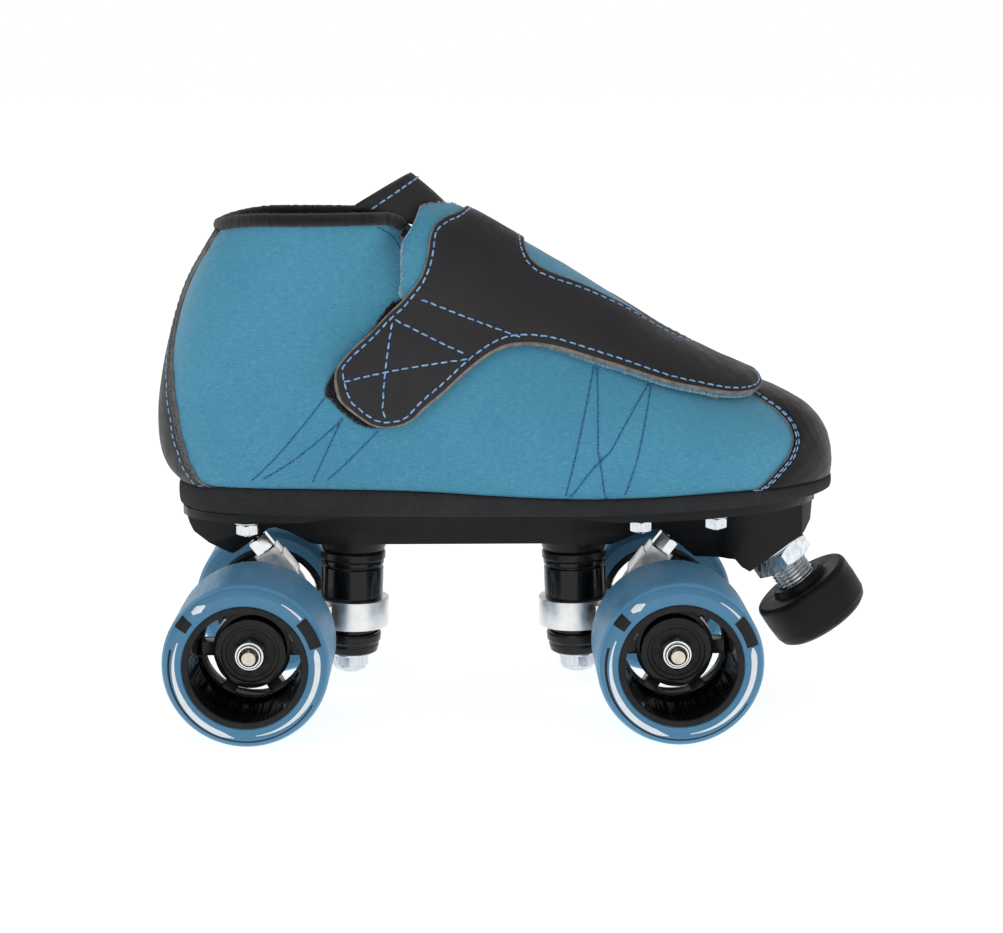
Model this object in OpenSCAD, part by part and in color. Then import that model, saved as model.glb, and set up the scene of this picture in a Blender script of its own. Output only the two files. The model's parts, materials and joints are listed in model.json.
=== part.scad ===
// Quad roller skate of the jam type: a low boot with a strapped lace cover, bolted to a nylon
// plate that carries two steering trucks, four wheels and a screw-in toe stop.
// It is a right-foot skate: +X is towards the toe, -Y is the outer side, and the wheels stand on z = 0.

/* [Wheels] */
// Outside diameter of a wheel
wheel_d = 62; // [58:1:63]
// Width of a wheel from its inner to its outer face
wheel_w = 44.5; // [42:0.5:46]
// Distance from the centre plane to a wheel's inner face
wheel_inner_y = 27.6; // [27:0.1:29]
// Radius of the nylon hub where it shows on the wheel's face
hub_r = 23.1; // [22.5:0.1:24]
// Number of spokes in a hub
hub_spokes = 6; // [5:1:8]

/* [Bearings and axles] */
// Outside diameter of a wheel bearing
bearing_od = 22; // [22:1:22]
// Bore of a wheel bearing, which is the axle's diameter
axle_d = 7; // [7:1:7]
// Width of a wheel bearing
bearing_w = 7; // [7:1:7]
// Length of the spacer between the two bearings of a wheel
spacer_len = 10; // [9.5:0.1:10.3]
// Width across the flats of an axle nut
axle_nut_af = 11; // [10:0.5:12]

/* [Trucks] */
// Distance between the front and the rear axle
wheelbase = 160.6; // [158:0.2:163]
// Distance from the middle of the wheelbase to a kingpin, at its hanger ring
kingpin_x = 45; // [44:0.5:46]
// Lean of a kingpin: its foot points towards its own axle
kingpin_lean = 2.2; // [0:0.1:4]
// Height of the middle of a hanger ring
ring_z = 35.1; // [34:0.1:36]
// Outside radius of the hanger ring around the kingpin
ring_r = 14.8; // [14:0.1:16]
// Height of the hanger ring
ring_h = 11.2; // [10:0.1:12]
// Radius of the barrel-shaped upper cushion
cushion_r = 12.2; // [11:0.1:13]

/* [Plate] */
// Half of the width of the plate's spine
spine_y = 14; // [13:0.5:15]
// Thickness of the flange under the sole
flange_t = 3.4; // [3:0.1:4]
// Sideways place of the two rear mounting bolts
rear_bolt_y = 23; // [22:0.5:24]
// Sideways place of the four front mounting bolts
front_bolt_y = 30; // [28:0.5:31]

/* [Boot] */
// Thickness of the canvas quarters
canvas_t = 1.6; // [1.2:0.1:1.8]
// Thickness of the leather pieces sewn on the canvas
leather_t = 1.4; // [1:0.1:1.5]
// Thickness of the boot's lining
lining_t = 1.2; // [1:0.1:2]

/* [Toe stop] */
// Diameter of the threaded stem
stem_d = 15.8; // [15:0.1:16]
// Diameter of the rubber stopper
stopper_d = 40.8; // [40:0.2:46]
// Thickness of the rubber stopper
stopper_h = 19; // [16:1:22]
// Lean of the stem, forward from straight down
stem_lean = 35; // [30:0.5:38]

/* [Hidden] */
$fn = 64;
// play left between a turning piece and its shaft
run_gap = 0.05;
// gap that keeps glued or stacked faces from sharing volume, and the same for two sewn layers
skin = 0.05;
seam = 0.25;
// distance from the middle of the wheelbase to the middle of the skate's whole length
frame_x = 20.6;
axle_z = wheel_d / 2;
axle_x = wheelbase / 2;

// ---------------------------------------------------------------- boot surface
// The upper is a loft. Each row is one section: the foot of the section (x, z), its head (x, z), its
// greatest half width, its half width at the foot and at the head, and how far up the greatest width lies.
// Sections start at the toe, walk back along the sole, and then climb the heel to the collar.
SECTIONS = [
    [145.6, 90, 145.9, 93.5, 2, 1, 0, 0.5],
    [142.5, 90, 143.2, 106.5, 15, 12, 0, 0.35],
    [135, 90, 136.5, 115.5, 26, 23, 0, 0.35],
    [124, 90, 126, 121.8, 35, 32, 0, 0.35],
    [110, 89.8, 113, 127, 41, 38.5, 0, 0.35],
    [93, 89.3, 97.5, 132.5, 44.5, 42, 0, 0.33],
    [72, 88.3, 78, 141.5, 45.5, 43, 0, 0.3],
    [46, 87.5, 58, 155.5, 43.5, 41, 0, 0.28],
    [16, 88, 36, 169, 39.5, 37, 0, 0.28],
    [-18, 89.5, 14, 180, 36, 33.5, 0, 0.3],
    [-52, 90, -4, 187.5, 35, 31.5, 0, 0.34],
    [-82, 90, -18, 190, 34.5, 28.5, 0, 0.38],
    [-101, 90, -30, 190, 34, 20, 19.5, 0.4],
    [-111.5, 93, -41, 190, 33.5, 7, 25, 0.42],
    [-116.8, 100, -51, 190, 33, 0, 28, 0.45],
    [-118, 112, -60, 190, 32.5, 0, 29.5, 0.48],
    [-116.8, 126, -68, 190, 31.5, 0, 29.5, 0.55],
    [-112.8, 145, -76, 190, 30, 0, 28, 0.65],
    [-106.3, 165, -84, 189.3, 26, 0, 24, 0.75],
    [-98.5, 179, -90.5, 188, 19, 0, 17.5, 0.85],
    [-94.6, 185.5, -93.6, 187, 6, 0, 5.5, 0.9]];
LAST = len(SECTIONS) - 1;
// the foot bends towards the inner side at the toe
toe_bend = 8;
toe_x = 147;
function bend(x) = toe_bend * pow(max(x, 0) / toe_x, 2);
function clamp(v, low, high) = min(max(v, low), high);
// smooth curve through the rows of a table, at t rows from its start
function spline(rows, t) =
    let (n = len(rows) - 1, c = clamp(t, 0, n), i = min(floor(c), n - 1), f = c - i,
         p0 = rows[max(i - 1, 0)], p1 = rows[i], p2 = rows[i + 1], p3 = rows[min(i + 2, n)])
    0.5 * (2 * p1 + f * (p2 - p0) + f * f * (2 * p0 - 5 * p1 + 4 * p2 - p3)
        + f * f * f * (3 * p1 - p0 - 3 * p2 + p3));
// a point of the upper: t is the section, and a runs from -1 (the outer sole edge) over 0 (the ridge) to 1
function upper(t, a) =
    let (s = spline(SECTIONS, t), turn = 90 - 180 * abs(a), low = turn < 0,
         y = low ? s[5] + (s[4] - s[5]) * cos(turn) : s[6] + (s[4] - s[6]) * pow(cos(turn), 0.85),
         g = low ? s[7] * (1 + sin(turn)) : s[7] + (1 - s[7]) * sin(turn),
         x = s[0] + (s[2] - s[0]) * g, z = s[1] + (s[3] - s[1]) * g)
    [x, bend(x) + sign(a) * y, z];
function unit(v) = v / max(norm(v), 1e-9);
tiny = 1e-3;
function outward(t, a) =
    let (dt = upper(min(t + tiny, LAST), a) - upper(max(t - tiny, 0), a),
         da = upper(t, min(a + tiny, 1)) - upper(t, max(a - tiny, -1)))
    unit(cross(da, dt));
// nothing lifted off the upper reaches below the sole's upper side, which ends at section 12
rim_t = 12;
function foot_z(t) = spline(SECTIONS, min(t, rim_t))[1] + skin;
function raised(t, a, lift) = let (p = upper(t, a) + lift * outward(t, a)) [p.x, p.y, max(p.z, foot_z(t))];

// closed solid between two grids of points with the same rows and columns
module slab(top, bottom) {
    rows = len(top);
    cols = len(top[0]);
    n = rows * cols;
    end = rows - 1;
    side = cols - 1;
    points = [for (grid = [top, bottom]) for (row = grid) for (p = row) p];
    function at(i, j) = i * cols + j;
    function quad(a, b, c, d) = [[a, b, c], [a, c, d]];
    faces = [
        for (i = [0:rows - 2]) for (j = [0:cols - 2])
            for (f = quad(at(i, j), at(i + 1, j), at(i + 1, j + 1), at(i, j + 1))) f,
        for (i = [0:rows - 2]) for (j = [0:cols - 2])
            for (f = quad(n + at(i, j), n + at(i, j + 1), n + at(i + 1, j + 1), n + at(i + 1, j))) f,
        for (j = [0:cols - 2])
            for (f = quad(at(0, j), at(0, j + 1), n + at(0, j + 1), n + at(0, j))) f,
        for (j = [0:cols - 2])
            for (f = quad(at(end, j), n + at(end, j), n + at(end, j + 1), at(end, j + 1))) f,
        for (i = [0:rows - 2])
            for (f = quad(at(i, 0), n + at(i, 0), n + at(i + 1, 0), at(i + 1, 0))) f,
        for (i = [0:rows - 2])
            for (f = quad(at(i, side), at(i + 1, side), n + at(i + 1, side), n + at(i, side))) f];
    polyhedron(points = points, faces = faces, convexity = 8);
}
// panel of the upper between sections ts and girths as, from lift low to lift high
module panel(ts, as, low, high) {
    slab([for (t = ts) [for (a = as) raised(t, a, high)]], [for (t = ts) [for (a = as) raised(t, a, low)]]);
}
function steps(from, to, count) = [for (i = [0:count]) from + (to - from) * i / count];

// ---------------------------------------------------------------- boot pieces
// edge of the quarters beside the lacing gap, and the outer edge of the eyestays
throat_a = 0.16;
stay_a = 0.25;
back_a = 0.995;
// the lacing gap narrows to the rim of the collar, which starts at section rim_t
function gap_a(t) = lookup(t, [[10.4, throat_a], [11, 0.12], [11.5, 0.07], [rim_t, 0.004]]);
// the toe cap ends and the quarters start at this section
cap_t = 3.6;
collar_t = 19.6;
// part f of the way from girth from to girth to, on one side, always drawn from -1 towards 1
function girth(side, from, to, f) = side * (from + (to - from) * (side > 0 ? f : 1 - f));
side_fs = steps(0, 1, 10);
quarter_ts = steps(cap_t + 0.02, collar_t, 32);
// one side of the upper, from the lacing gap down to the sole and round to the back
module quarter(side) {
    color("#4a93af")
        slab([for (t = quarter_ts) [for (f = side_fs) raised(t, girth(side, gap_a(t), back_a, f), 0)]],
             [for (t = quarter_ts) [for (f = side_fs) raised(t, girth(side, gap_a(t), back_a, f), -canvas_t)]]);
}
module outer_quarter() { quarter(-1); }
module inner_quarter() { quarter(1); }
// the lining stops just short of the rim, the top of the heel and the corner of the sole, where the upper
// turns too tightly for it
lining_top = -canvas_t - 0.6;
function lining_from(t) = max(gap_a(t), lookup(t, [[11, 0], [rim_t, 0.1]]));
function lining_to(t) = lookup(t, [[11, 0.93], [13, 0.985]]);
function lining_face(side, ts, lift) =
    [for (t = ts) [for (f = side_fs) raised(t, girth(side, lining_from(t), lining_to(t), f), lift)]];
lining_end_t = 19.2;
module lining() {
    ts = [for (t = quarter_ts) if (t < lining_end_t) t];
    color("#26262a")
        for (side = [-1, 1])
            slab(lining_face(side, ts, lining_top), lining_face(side, ts, lining_top - lining_t));
}
module toe_cap() {
    color("#333234") panel(steps(0.12, cap_t - 0.02, 7), steps(-1, 1, 22), -canvas_t, leather_t);
}
// half girth of the strip up the back of the heel, from its foot to its top
function strip_a(t) = clamp(0.06 + 0.2 * sin(180 * clamp((t - 11.2) / 7.2, 0, 1)), 0.06, 0.26);
function strip_girth(side, t, f) = side * (back_a - strip_a(t) * (side > 0 ? 1 - f : f));
module heel_counter() {
    ts = steps(11.9, collar_t - 0.2, 22);
    fs = steps(0, 1, 4);
    color("#333234")
        for (side = [-1, 1])
            slab([for (t = ts) [for (f = fs) raised(t, strip_girth(side, t, f), seam + leather_t)]],
                 [for (t = ts) [for (f = fs) raised(t, strip_girth(side, t, f), seam)]]);
}
// rolled binding along the collar's rim, from the outer front corner round the heel to the inner one
binding_r = 2.1;
binding_sides = 8;
function rim(side, t) = upper(t, side * tiny) + [0, 0, binding_r + skin];
module tube(path, r, sides) {
    n = len(path);
    rings = [for (i = [0:n - 1])
        let (d = unit(path[min(i + 1, n - 1)] - path[max(i - 1, 0)]), s = unit(cross(d, [0, 0, 1])),
             u = cross(s, d))
        [for (k = [0:sides - 1]) path[i] + r * cos(360 * k / sides) * s + r * sin(360 * k / sides) * u]];
    polyhedron(
        points = [for (ring = rings) for (p = ring) p],
        faces = [
            [for (k = [0:sides - 1]) k],
            [for (k = [sides - 1:-1:0]) (n - 1) * sides + k],
            for (i = [0:n - 2]) for (k = [0:sides - 1])
                let (next = (k + 1) % sides, a = i * sides, b = a + sides)
                [a + k, b + k, b + next, a + next]],
        convexity = 8);
}
module collar_binding() {
    path = [
        for (t = steps(rim_t, collar_t, 20)) rim(-1, t),
        for (t = steps(collar_t, rim_t, 20)) rim(1, t)];
    color("#232325") tube(path, binding_r, binding_sides);
}
// The tongue's outer face. Each row is a place on the centre plane (x, z), the half width there, how far the
// edges drop below the middle, the angle that the tongue turns through from its middle to an edge, and how
// far the edges run ahead of the middle.
TONGUE = [[112, 121.5, 9, 1.4, 18, 0], [97, 128.5, 11, 2, 22, 0], [78, 138, 12, 2.5, 24, 0],
    [58, 151.5, 12.5, 2.7, 25, 0], [36, 165.5, 12.5, 3, 27, 0], [16, 178, 12.5, 3.1, 28, 0],
    [3, 187, 13, 4, 32, 0], [-4, 194, 14.5, 9, 50, 1], [-11.5, 201.5, 16.5, 18, 68, 4],
    [-20.2, 209.2, 18.5, 25, 80, 7.5]];
tongue_t = 5;
module tongue() {
    ts = steps(0, len(TONGUE) - 1, 18);
    cols = 8;
    function place_on(t, j, depth) =
        let (s = spline(TONGUE, t), ahead = spline(TONGUE, t + 0.02) - spline(TONGUE, t - 0.02),
             run = unit([ahead[0], ahead[1]]), wide = s[2] / sin(s[4]), deep = s[3] / (1 - cos(s[4])),
             turn = s[4] * (2 * j / cols - 1), part = (1 - cos(turn)) / (1 - cos(s[4])),
             inward = unit([-deep * sin(turn), wide * cos(turn)]),
             y = wide * sin(turn) + depth * inward.x, drop = s[3] * part + depth * inward.y)
        [s[0] - run[1] * drop + run[0] * s[5] * part, bend(s[0]) + y,
         s[1] + run[0] * drop + run[1] * s[5] * part];
    color("#333234")
        slab([for (t = ts) [for (j = [0:cols]) place_on(t, j, 0)]],
             [for (t = ts) [for (j = [0:cols]) place_on(t, j, tongue_t)]]);
}
module eyestays() {
    color("#2c2b2e")
        for (side = [-1, 1])
            panel(steps(4.5, 10.6, 12), side > 0 ? steps(throat_a + 0.003, stay_a, 3)
                : steps(-stay_a, -throat_a - 0.003, 3), seam, seam + leather_t);
}
lace_rows = 7;
lace_w = 0.14;
lace_low = leather_t + 2 * seam;
lace_t = 1.1;
module laces() {
    color("#1d1d20")
        for (row = steps(4.9, 9.2, lace_rows - 1))
            panel([row - lace_w, row + lace_w], steps(-0.21, 0.21, 8), lace_low, lace_low + lace_t);
}
// the strap's fastener: loops sewn on the outer quarter, hooks on the strap
strap_rows = [[-0.31, 8.35, 10.1], [-0.345, 8.65, 10.3], [-0.39, 8.9, 10.5], [-0.445, 9.15, 10.65],
    [-0.49, 9.35, 10.45], [-0.53, 9.55, 10.05]];
module strap_panel(rows, low, high, grow) {
    cols = 6;
    function at(row, j, lift) =
        let (t = row[1] - grow + (row[2] - row[1] + 2 * grow) * j / cols) raised(t, row[0], lift);
    slab([for (row = rows) [for (j = [0:cols]) at(row, cols - j, high)]],
         [for (row = rows) [for (j = [0:cols]) at(row, cols - j, low)]]);
}
loop_t = 0.9;
module loop_pad() { color("#161618") strap_panel(strap_rows, seam, loop_t, 0.08); }

// ---------------------------------------------------------------- lace cover
// height of the cover's underside above the upper: flat at its edges, domed over the laces
function dome(t, a) =
    let (ridge = lookup(t, [[3.9, 2.2], [4.6, 4], [6, 4.2], [8, 4.6], [9, 5.8], [10, 9.2], [10.6, 10.2]]),
         side = lookup(abs(a), [[0, 1], [0.12, 0.9], [0.21, 0.62], [0.26, 0.3], [0.32, 0]]))
    loop_t + 1.05 + (ridge - loop_t - 1.05) * max(side, 0);
function cover_lift(t, a) = max(dome(t, a), abs(a) < 0.27 ? 1.7 : 0);
// toe end and ankle end of the canvas at each girth
COVER = [[-0.3, 7.6, 10.25], [-0.285, 6.1, 10.35], [-0.27, 5.3, 10.4], [-0.245, 4.8, 10.45],
    [-0.22, 4.35, 10.45], [-0.185, 4.15, 10.4], [-0.15, 4.05, 10.35], [-0.115, 3.98, 10.25],
    [-0.08, 3.95, 10.1], [-0.04, 3.92, 9.95], [0, 3.9, 9.9], [0.04, 3.92, 9.9], [0.08, 3.95, 9.9],
    [0.12, 4, 9.9], [0.16, 4.1, 9.9], [0.19, 4.25, 9.85], [0.22, 4.4, 9.8], [0.26, 4.9, 9.6]];
OVERLAY = [[-0.55, 9.6, 9.85], [-0.53, 9.45, 10.1], [-0.485, 9.27, 10.55], [-0.446, 9.08, 10.76],
    [-0.393, 8.83, 10.6], [-0.344, 8.57, 10.4], [-0.323, 8.29, 10.3], [-0.306, 7.86, 10.24],
    [-0.298, 7.2, 10.22], [-0.291, 6.5, 10.18], [-0.28, 5.7, 10.14], [-0.257, 4.75, 10.14],
    [-0.22, 4.25, 10.18], [-0.185, 4.08, 10.2], [-0.15, 3.97, 10.15], [-0.115, 3.95, 10.05],
    [-0.08, 3.92, 9.95], [-0.04, 3.9, 9.8], [0, 3.9, 9.75], [0.04, 3.9, 9.75], [0.08, 3.92, 9.75],
    [0.12, 4, 9.75], [0.16, 4.1, 9.75], [0.19, 4.25, 9.7], [0.22, 4.4, 9.6]];
module cover_layer(rows, cols, low, high) {
    function at(row, j, lift) =
        let (t = row[1] + (row[2] - row[1]) * j / cols) raised(t, row[0], cover_lift(t, row[0]) + lift);
    slab([for (row = rows) [for (j = [0:cols]) at(row, cols - j, high)]],
         [for (row = rows) [for (j = [0:cols]) at(row, cols - j, low)]]);
}
cover_t = 1.2;
module cover_canvas() { color("#4a93af") cover_layer(COVER, 20, 0, cover_t); }
overlay_low = cover_t + 1.5 * seam;
module cover_overlay() { color("#333234") cover_layer(OVERLAY, 20, overlay_low, overlay_low + leather_t); }
hook_t = 0.9;
module hook_pad() {
    color("#161618")
        strap_panel([for (row = strap_rows) if (row[0] < -0.32) row], loop_t + 1.05 + cover_t - hook_t,
            loop_t + 1.05 + cover_t, -0.05);
}

// ---------------------------------------------------------------- sole
sole_bottom = [[-113, 79.5], [-60, 79.5], [0, 80], [50, 81], [95, 83], [125, 84], [148, 84.5]];
SOLE_EDGE = [[-112.3, 0], [-110.4, 9.5], [-101.5, 22], [-85, 30.2], [-60, 33.4], [-20, 35.8], [20, 39.8],
    [50, 43.6], [75, 45.6], [97, 44.2], [113, 39.8], [127, 32.6], [138, 23], [145, 11.5], [147.3, 0]];
function sole_outline(inset) =
    let (n = len(SOLE_EDGE) - 1, count = 44)
    [for (side = [-1, 1]) for (i = [0:count - 1])
        let (t = side < 0 ? n * i / count : n * (1 - i / count), p = spline(SOLE_EDGE, t),
             d = spline(SOLE_EDGE, t + 0.05) - spline(SOLE_EDGE, t - 0.05), u = unit(d))
        [p.x + u.y * inset, bend(p.x) + side * max(p.y - u.x * inset, 0)]];
// the top follows the foot of the upper
function sole_top() = [for (t = steps(0, 11, 22)) let (s = spline(SECTIONS, t)) [s[0], s[1] - 0.15]];
module along_y(half) rotate([90, 0, 0]) translate([0, 0, -half]) linear_extrude(2 * half) children();
bolt_r = 2.5;
rear_bolt_x = -83.5;
front_bolt_x = [67.9, 96.8];
bolt_places = [
    for (side = [-1, 1]) [rear_bolt_x, side * rear_bolt_y],
    for (x = front_bolt_x) for (side = [-1, 1]) [x, side * front_bolt_y]];
module outsole() {
    color("#3a3a3c")
        difference() {
            intersection() {
                translate([0, 0, 70]) linear_extrude(40) polygon(sole_outline(0));
                along_y(60)
                    polygon(concat([[150, 89.8]], sole_top(), [[-114, 89.85]], sole_bottom));
            }
            for (p = bolt_places) translate([p.x, p.y, 70]) cylinder(r = bolt_r + skin, h = 40);
        }
}
insole_z = 92.4;
insole_t = 3;
module insole() {
    color("#2b2b2e") translate([0, 0, insole_z]) linear_extrude(insole_t) polygon(sole_outline(9));
}

// ---------------------------------------------------------------- plate
// underside of the spine from heel to toe: pivot boss, arch over the pivot, beam, and the toe stop boss
spine_profile = [[-107.5, 73], [-105.8, 70], [-99.3, 65.4], [-91.6, 61.6], [-90.4, 61.3],
    [-89, 61.9], [-78.6, 69.3], [-76.5, 71], [-73.8, 71.6], [-69.1, 70.2], [-64.1, 67.6], [-60.2, 65.4],
    [-57.5, 64.7], [-28, 64.5], [30, 64.7], [58, 64.2], [64.4, 67], [69.3, 69.6], [73, 70.2], [76.5, 70.4],
    [79.6, 68.8], [88.2, 61.6], [90.6, 59.5], [101.5, 59], [106.6, 58.4], [109.2, 55.4], [112.5, 53.4],
    [134.2, 68.5], [137, 73], [137.8, 82.6]];
// upper side of the spine, half way into the flange
spine_top = [[-109, 77.8], [-60, 77.8], [0, 78.3], [50, 79.3], [95, 81.3], [125, 82.3]];
spine_plan = [[-109.5, 9], [-105, 12.5], [-100, spine_y], [100, spine_y], [104, spine_y + 1.5],
    [118, spine_y + 1.5], [133, 12.5], [138, 7]];
flange_plan = [[-110, 8], [-107, 15], [-99, 23], [-88, 28.5], [-74, 29.5], [-60, 27], [-48, 18], [20, 18],
    [40, 26], [58, 38], [72, 40.5], [92, 39.5], [108, 35], [122, 27.5], [133, 17], [138.5, 7]];
function reversed(points) = [for (i = [len(points) - 1:-1:0]) points[i]];
function both_sides(points) = concat(points, [for (p = reversed(points)) [p.x, -p.y]]);
function lifted(points, dz) = [for (p = points) [p.x, p.y + dz]];
boss_r = 12.5;
boss_w = 25;
kingpin_r = 4.75;
kingpin_top = 33;
// a truck's own places are drawn at the rear, and mirrored for the front
pivot_face = [-83.6, 66.2];
pivot_slope = 52.3;
tip_depth = 5;
tip_r = 4;
cup_r = 6.6;
cup_depth = 10.5;
module at_kingpin() translate([-kingpin_x, 0, ring_z]) rotate([0, kingpin_lean, 0]) children();
// local +z runs from the plate's pivot face down the pivot pin
module at_pivot() translate([pivot_face.x, 0, pivot_face.y]) rotate([0, 90 + pivot_slope, 0]) children();
module both_ends() {
    children();
    mirror([1, 0, 0]) children();
}
stem_face = [123.7, 61.2];
// local +z runs from the toe stop boss down the stem
module at_stem() translate([stem_face.x, 0, stem_face.y]) rotate([0, 180 - stem_lean, 0]) children();
stem_r = stem_d / 2;
module plate() {
    color("#1c1c1f")
        difference() {
            union() {
                intersection() {
                    translate([0, 0, 50]) linear_extrude(40) polygon(both_sides(flange_plan));
                    along_y(50) polygon(concat(lifted(sole_bottom, -flange_t), reversed(sole_bottom)));
                }
                intersection() {
                    translate([0, 0, 45]) linear_extrude(60) polygon(both_sides(spine_plan));
                    along_y(spine_y + 4) polygon(concat(spine_profile, reversed(spine_top)));
                }
                both_ends() at_kingpin()
                    rotate_extrude()
                        polygon([[0, boss_w], [boss_r - 0.5, boss_w], [boss_r, boss_w + 0.5],
                            [boss_r + 0.5, boss_w + 2.2], [boss_r + 1.6, boss_w + 4.4],
                            [boss_r + 1.6, boss_w + 9], [0, boss_w + 9]]);
            }
            both_ends() {
                at_kingpin()
                    translate([0, 0, boss_w - 1]) cylinder(r = kingpin_r, h = kingpin_top - boss_w + 1);
                at_pivot() translate([0, 0, -cup_depth]) cylinder(r = cup_r + skin, h = cup_depth + 12);
            }
            at_stem() translate([0, 0, -16.5]) cylinder(r = stem_r + run_gap, h = 40);
            for (p = bolt_places) translate([p.x, p.y, 60]) cylinder(r = bolt_r, h = 40);
        }
}
module pivot_cups() {
    color("#2f2f33")
        both_ends() at_pivot()
            difference() {
                translate([0, 0, skin - cup_depth]) cylinder(r = cup_r, h = cup_depth - 0.3);
                translate([0, 0, -tip_depth]) sphere(r = tip_r + run_gap);
                translate([0, 0, -tip_depth]) cylinder(r = tip_r + run_gap, h = 12);
            }
}
washer_t = 0.8;
bolt_nut_t = 4;
bolt_head_r = 4;
function flange_under(x) = lookup(x, sole_bottom) - flange_t;
module mounting_bolts() {
    color("#c9cbce")
        for (p = bolt_places) {
            top = (p.x < 0 ? 90 : lookup(p.x, [for (q = reversed(sole_top())) [q.x, q.y]])) + 0.35;
            foot = flange_under(p.x) - 7;
            translate([p.x, p.y, foot]) cylinder(r = bolt_r, h = top - foot);
            translate([p.x, p.y, top]) cylinder(r = bolt_head_r, h = 1.4);
        }
}
module mounting_washers() {
    color("#8f9296")
        for (p = bolt_places)
            translate([p.x, p.y, flange_under(p.x) - washer_t - seam])
                difference() {
                    cylinder(r = 5, h = washer_t);
                    translate([0, 0, -1]) cylinder(r = bolt_r + skin, h = 4);
                }
}
module hex_nut(af, h, bore_r) {
    difference() {
        cylinder(r = af / sqrt(3), h = h, $fn = 6);
        translate([0, 0, -1]) cylinder(r = bore_r, h = h + 2);
    }
}
bolt_nut_af = 8;
module mounting_nuts() {
    color("#d5d7d9")
        for (p = bolt_places)
            translate([p.x, p.y, flange_under(p.x) - washer_t - bolt_nut_t - seam - skin])
                hex_nut(bolt_nut_af, bolt_nut_t, bolt_r);
}

// ---------------------------------------------------------------- trucks, drawn at the rear
module kingpin() {
    color("#c9cbce") at_kingpin() translate([0, 0, -25]) cylinder(r = kingpin_r, h = kingpin_top + 25);
}
kingpin_nut_af = 14.3;
cup_foot = -17.1;
module kingpin_nut() {
    color("#d5d7d9")
        at_kingpin() {
            translate([0, 0, cup_foot - 5.2]) hex_nut(kingpin_nut_af, 5.1, kingpin_r);
            translate([0, 0, cup_foot - 7])
                difference() {
                    cylinder(r = 6.4, h = 1.8);
                    translate([0, 0, -1]) cylinder(r = kingpin_r, h = 4);
                }
        }
}
half_ring = ring_h / 2;
cushion_bore = kingpin_r + 0.4;
module barrel(r, foot, height) {
    bulge = 0.5;
    edge = 0.6;
    side_r = r - bulge;
    rotate_extrude()
        polygon([[cushion_bore, foot], [side_r - 0.5, foot], [side_r, foot + edge],
            for (k = [1:5]) [side_r + bulge * sin(30 * k), foot + edge + (height - 2 * edge) * k / 6],
            [side_r, foot + height - edge], [side_r - 0.5, foot + height], [cushion_bore, foot + height]]);
}
retainer_w = 21.2;
upper_retainer_r = 12.9;
module upper_cushion() {
    color("#101012") at_kingpin() barrel(cushion_r, half_ring + skin, retainer_w - half_ring - 2 * skin);
}
cup_floor = cup_foot + 1.5;
lower_cushion_r = 10.2;
module lower_cushion() {
    color("#101012")
        at_kingpin() barrel(lower_cushion_r, cup_floor + skin, -half_ring - cup_floor - 2 * skin);
}
module cushion_retainers() {
    color("#1a1a1c")
        at_kingpin() {
            rotate_extrude()
                polygon([[kingpin_r, retainer_w], [upper_retainer_r - 0.4, retainer_w],
                    [upper_retainer_r, retainer_w + 0.5], [upper_retainer_r, boss_w - skin],
                    [kingpin_r, boss_w - skin]]);
            rotate_extrude()
                polygon([[kingpin_r, cup_foot], [9.6, cup_foot], [10.8, cup_foot + 0.8],
                    [11.4, cup_foot + 5], [11.9, cup_foot + 6.6], [11.9, -8.9], [11.4, -8.4], [10.5, -8.4],
                    [10.5, cup_floor], [kingpin_r, cup_floor]]);
        }
}
ring_bore = 8.3;
beam_r = 8;
beam_y = 25;
shoulder_r = 5.3;
axle_r = axle_d / 2;
pin_r = 3;
// the hanger: a beam that holds the axle, a web to the kingpin ring and a stepped arm up to the pivot pin
module hanger() {
    color("#b9bcc0")
        difference() {
            union() {
                translate([-axle_x, 0, axle_z]) rotate([90, 0, 0]) {
                    cylinder(r = beam_r, h = 2 * beam_y, center = true);
                    cylinder(r = shoulder_r, h = 2 * wheel_inner_y - 0.1, center = true);
                }
                at_kingpin() translate([0, 0, -half_ring]) cylinder(r = ring_r, h = ring_h);
                translate([0, 0, 30.8]) linear_extrude(8.4)
                    polygon([[-axle_x, -22], [-axle_x + 6, -22], [-50, -12], [-50, 12], [-axle_x + 6, 22],
                        [-axle_x, 22]]);
                at_pivot() pivot_arm();
            }
            at_kingpin() translate([0, 0, -30]) cylinder(r = ring_bore, h = 60);
            translate([-axle_x, 0, axle_z]) rotate([90, 0, 0]) cylinder(r = axle_r, h = 80, center = true);
            at_pivot() translate([0, 0, 5]) cylinder(r = pin_r, h = 12.5);
        }
}
arm_start = 8.6;
arm_half_y = 6;
module pivot_arm() {
    // outline in the pivot pin's own plane: first number across the pin, second along it
    rotate([90, 0, 0]) translate([0, 0, -arm_half_y]) linear_extrude(2 * arm_half_y)
        polygon([[-4.4, arm_start], [4.2, arm_start], [4.2, arm_start + 4], [6.2, arm_start + 4],
            [6.2, 38], [-5.2, 22], [-5.2, arm_start + 4], [-4.4, arm_start + 4]]);
}
axle_end_y = 59.4;
module axle() {
    color("#d5d7d9")
        translate([-axle_x, 0, axle_z]) rotate([90, 0, 0])
            rotate_extrude()
                polygon([[0, -axle_end_y], [axle_r - 1, -axle_end_y], [axle_r, -axle_end_y + 1],
                    [axle_r, axle_end_y - 1], [axle_r - 1, axle_end_y], [0, axle_end_y]]);
}
stack_y = wheel_inner_y + 2 * bearing_w + spacer_len;
axle_nut_t = 5.5;
module axle_nuts() {
    color("#e2e4e6")
        for (side = [-1, 1])
            translate([-axle_x, side * (stack_y + 0.05), axle_z]) rotate([-side * 90, 0, 0])
                hex_nut(axle_nut_af, axle_nut_t, axle_r);
}
module pivot_pin() {
    color("#e8eaec")
        at_pivot() {
            translate([0, 0, -tip_depth]) sphere(r = tip_r);
            translate([0, 0, -tip_depth]) cylinder(r = pin_r, h = tip_depth + 17);
        }
}
pivot_nut_af = 8;
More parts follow.
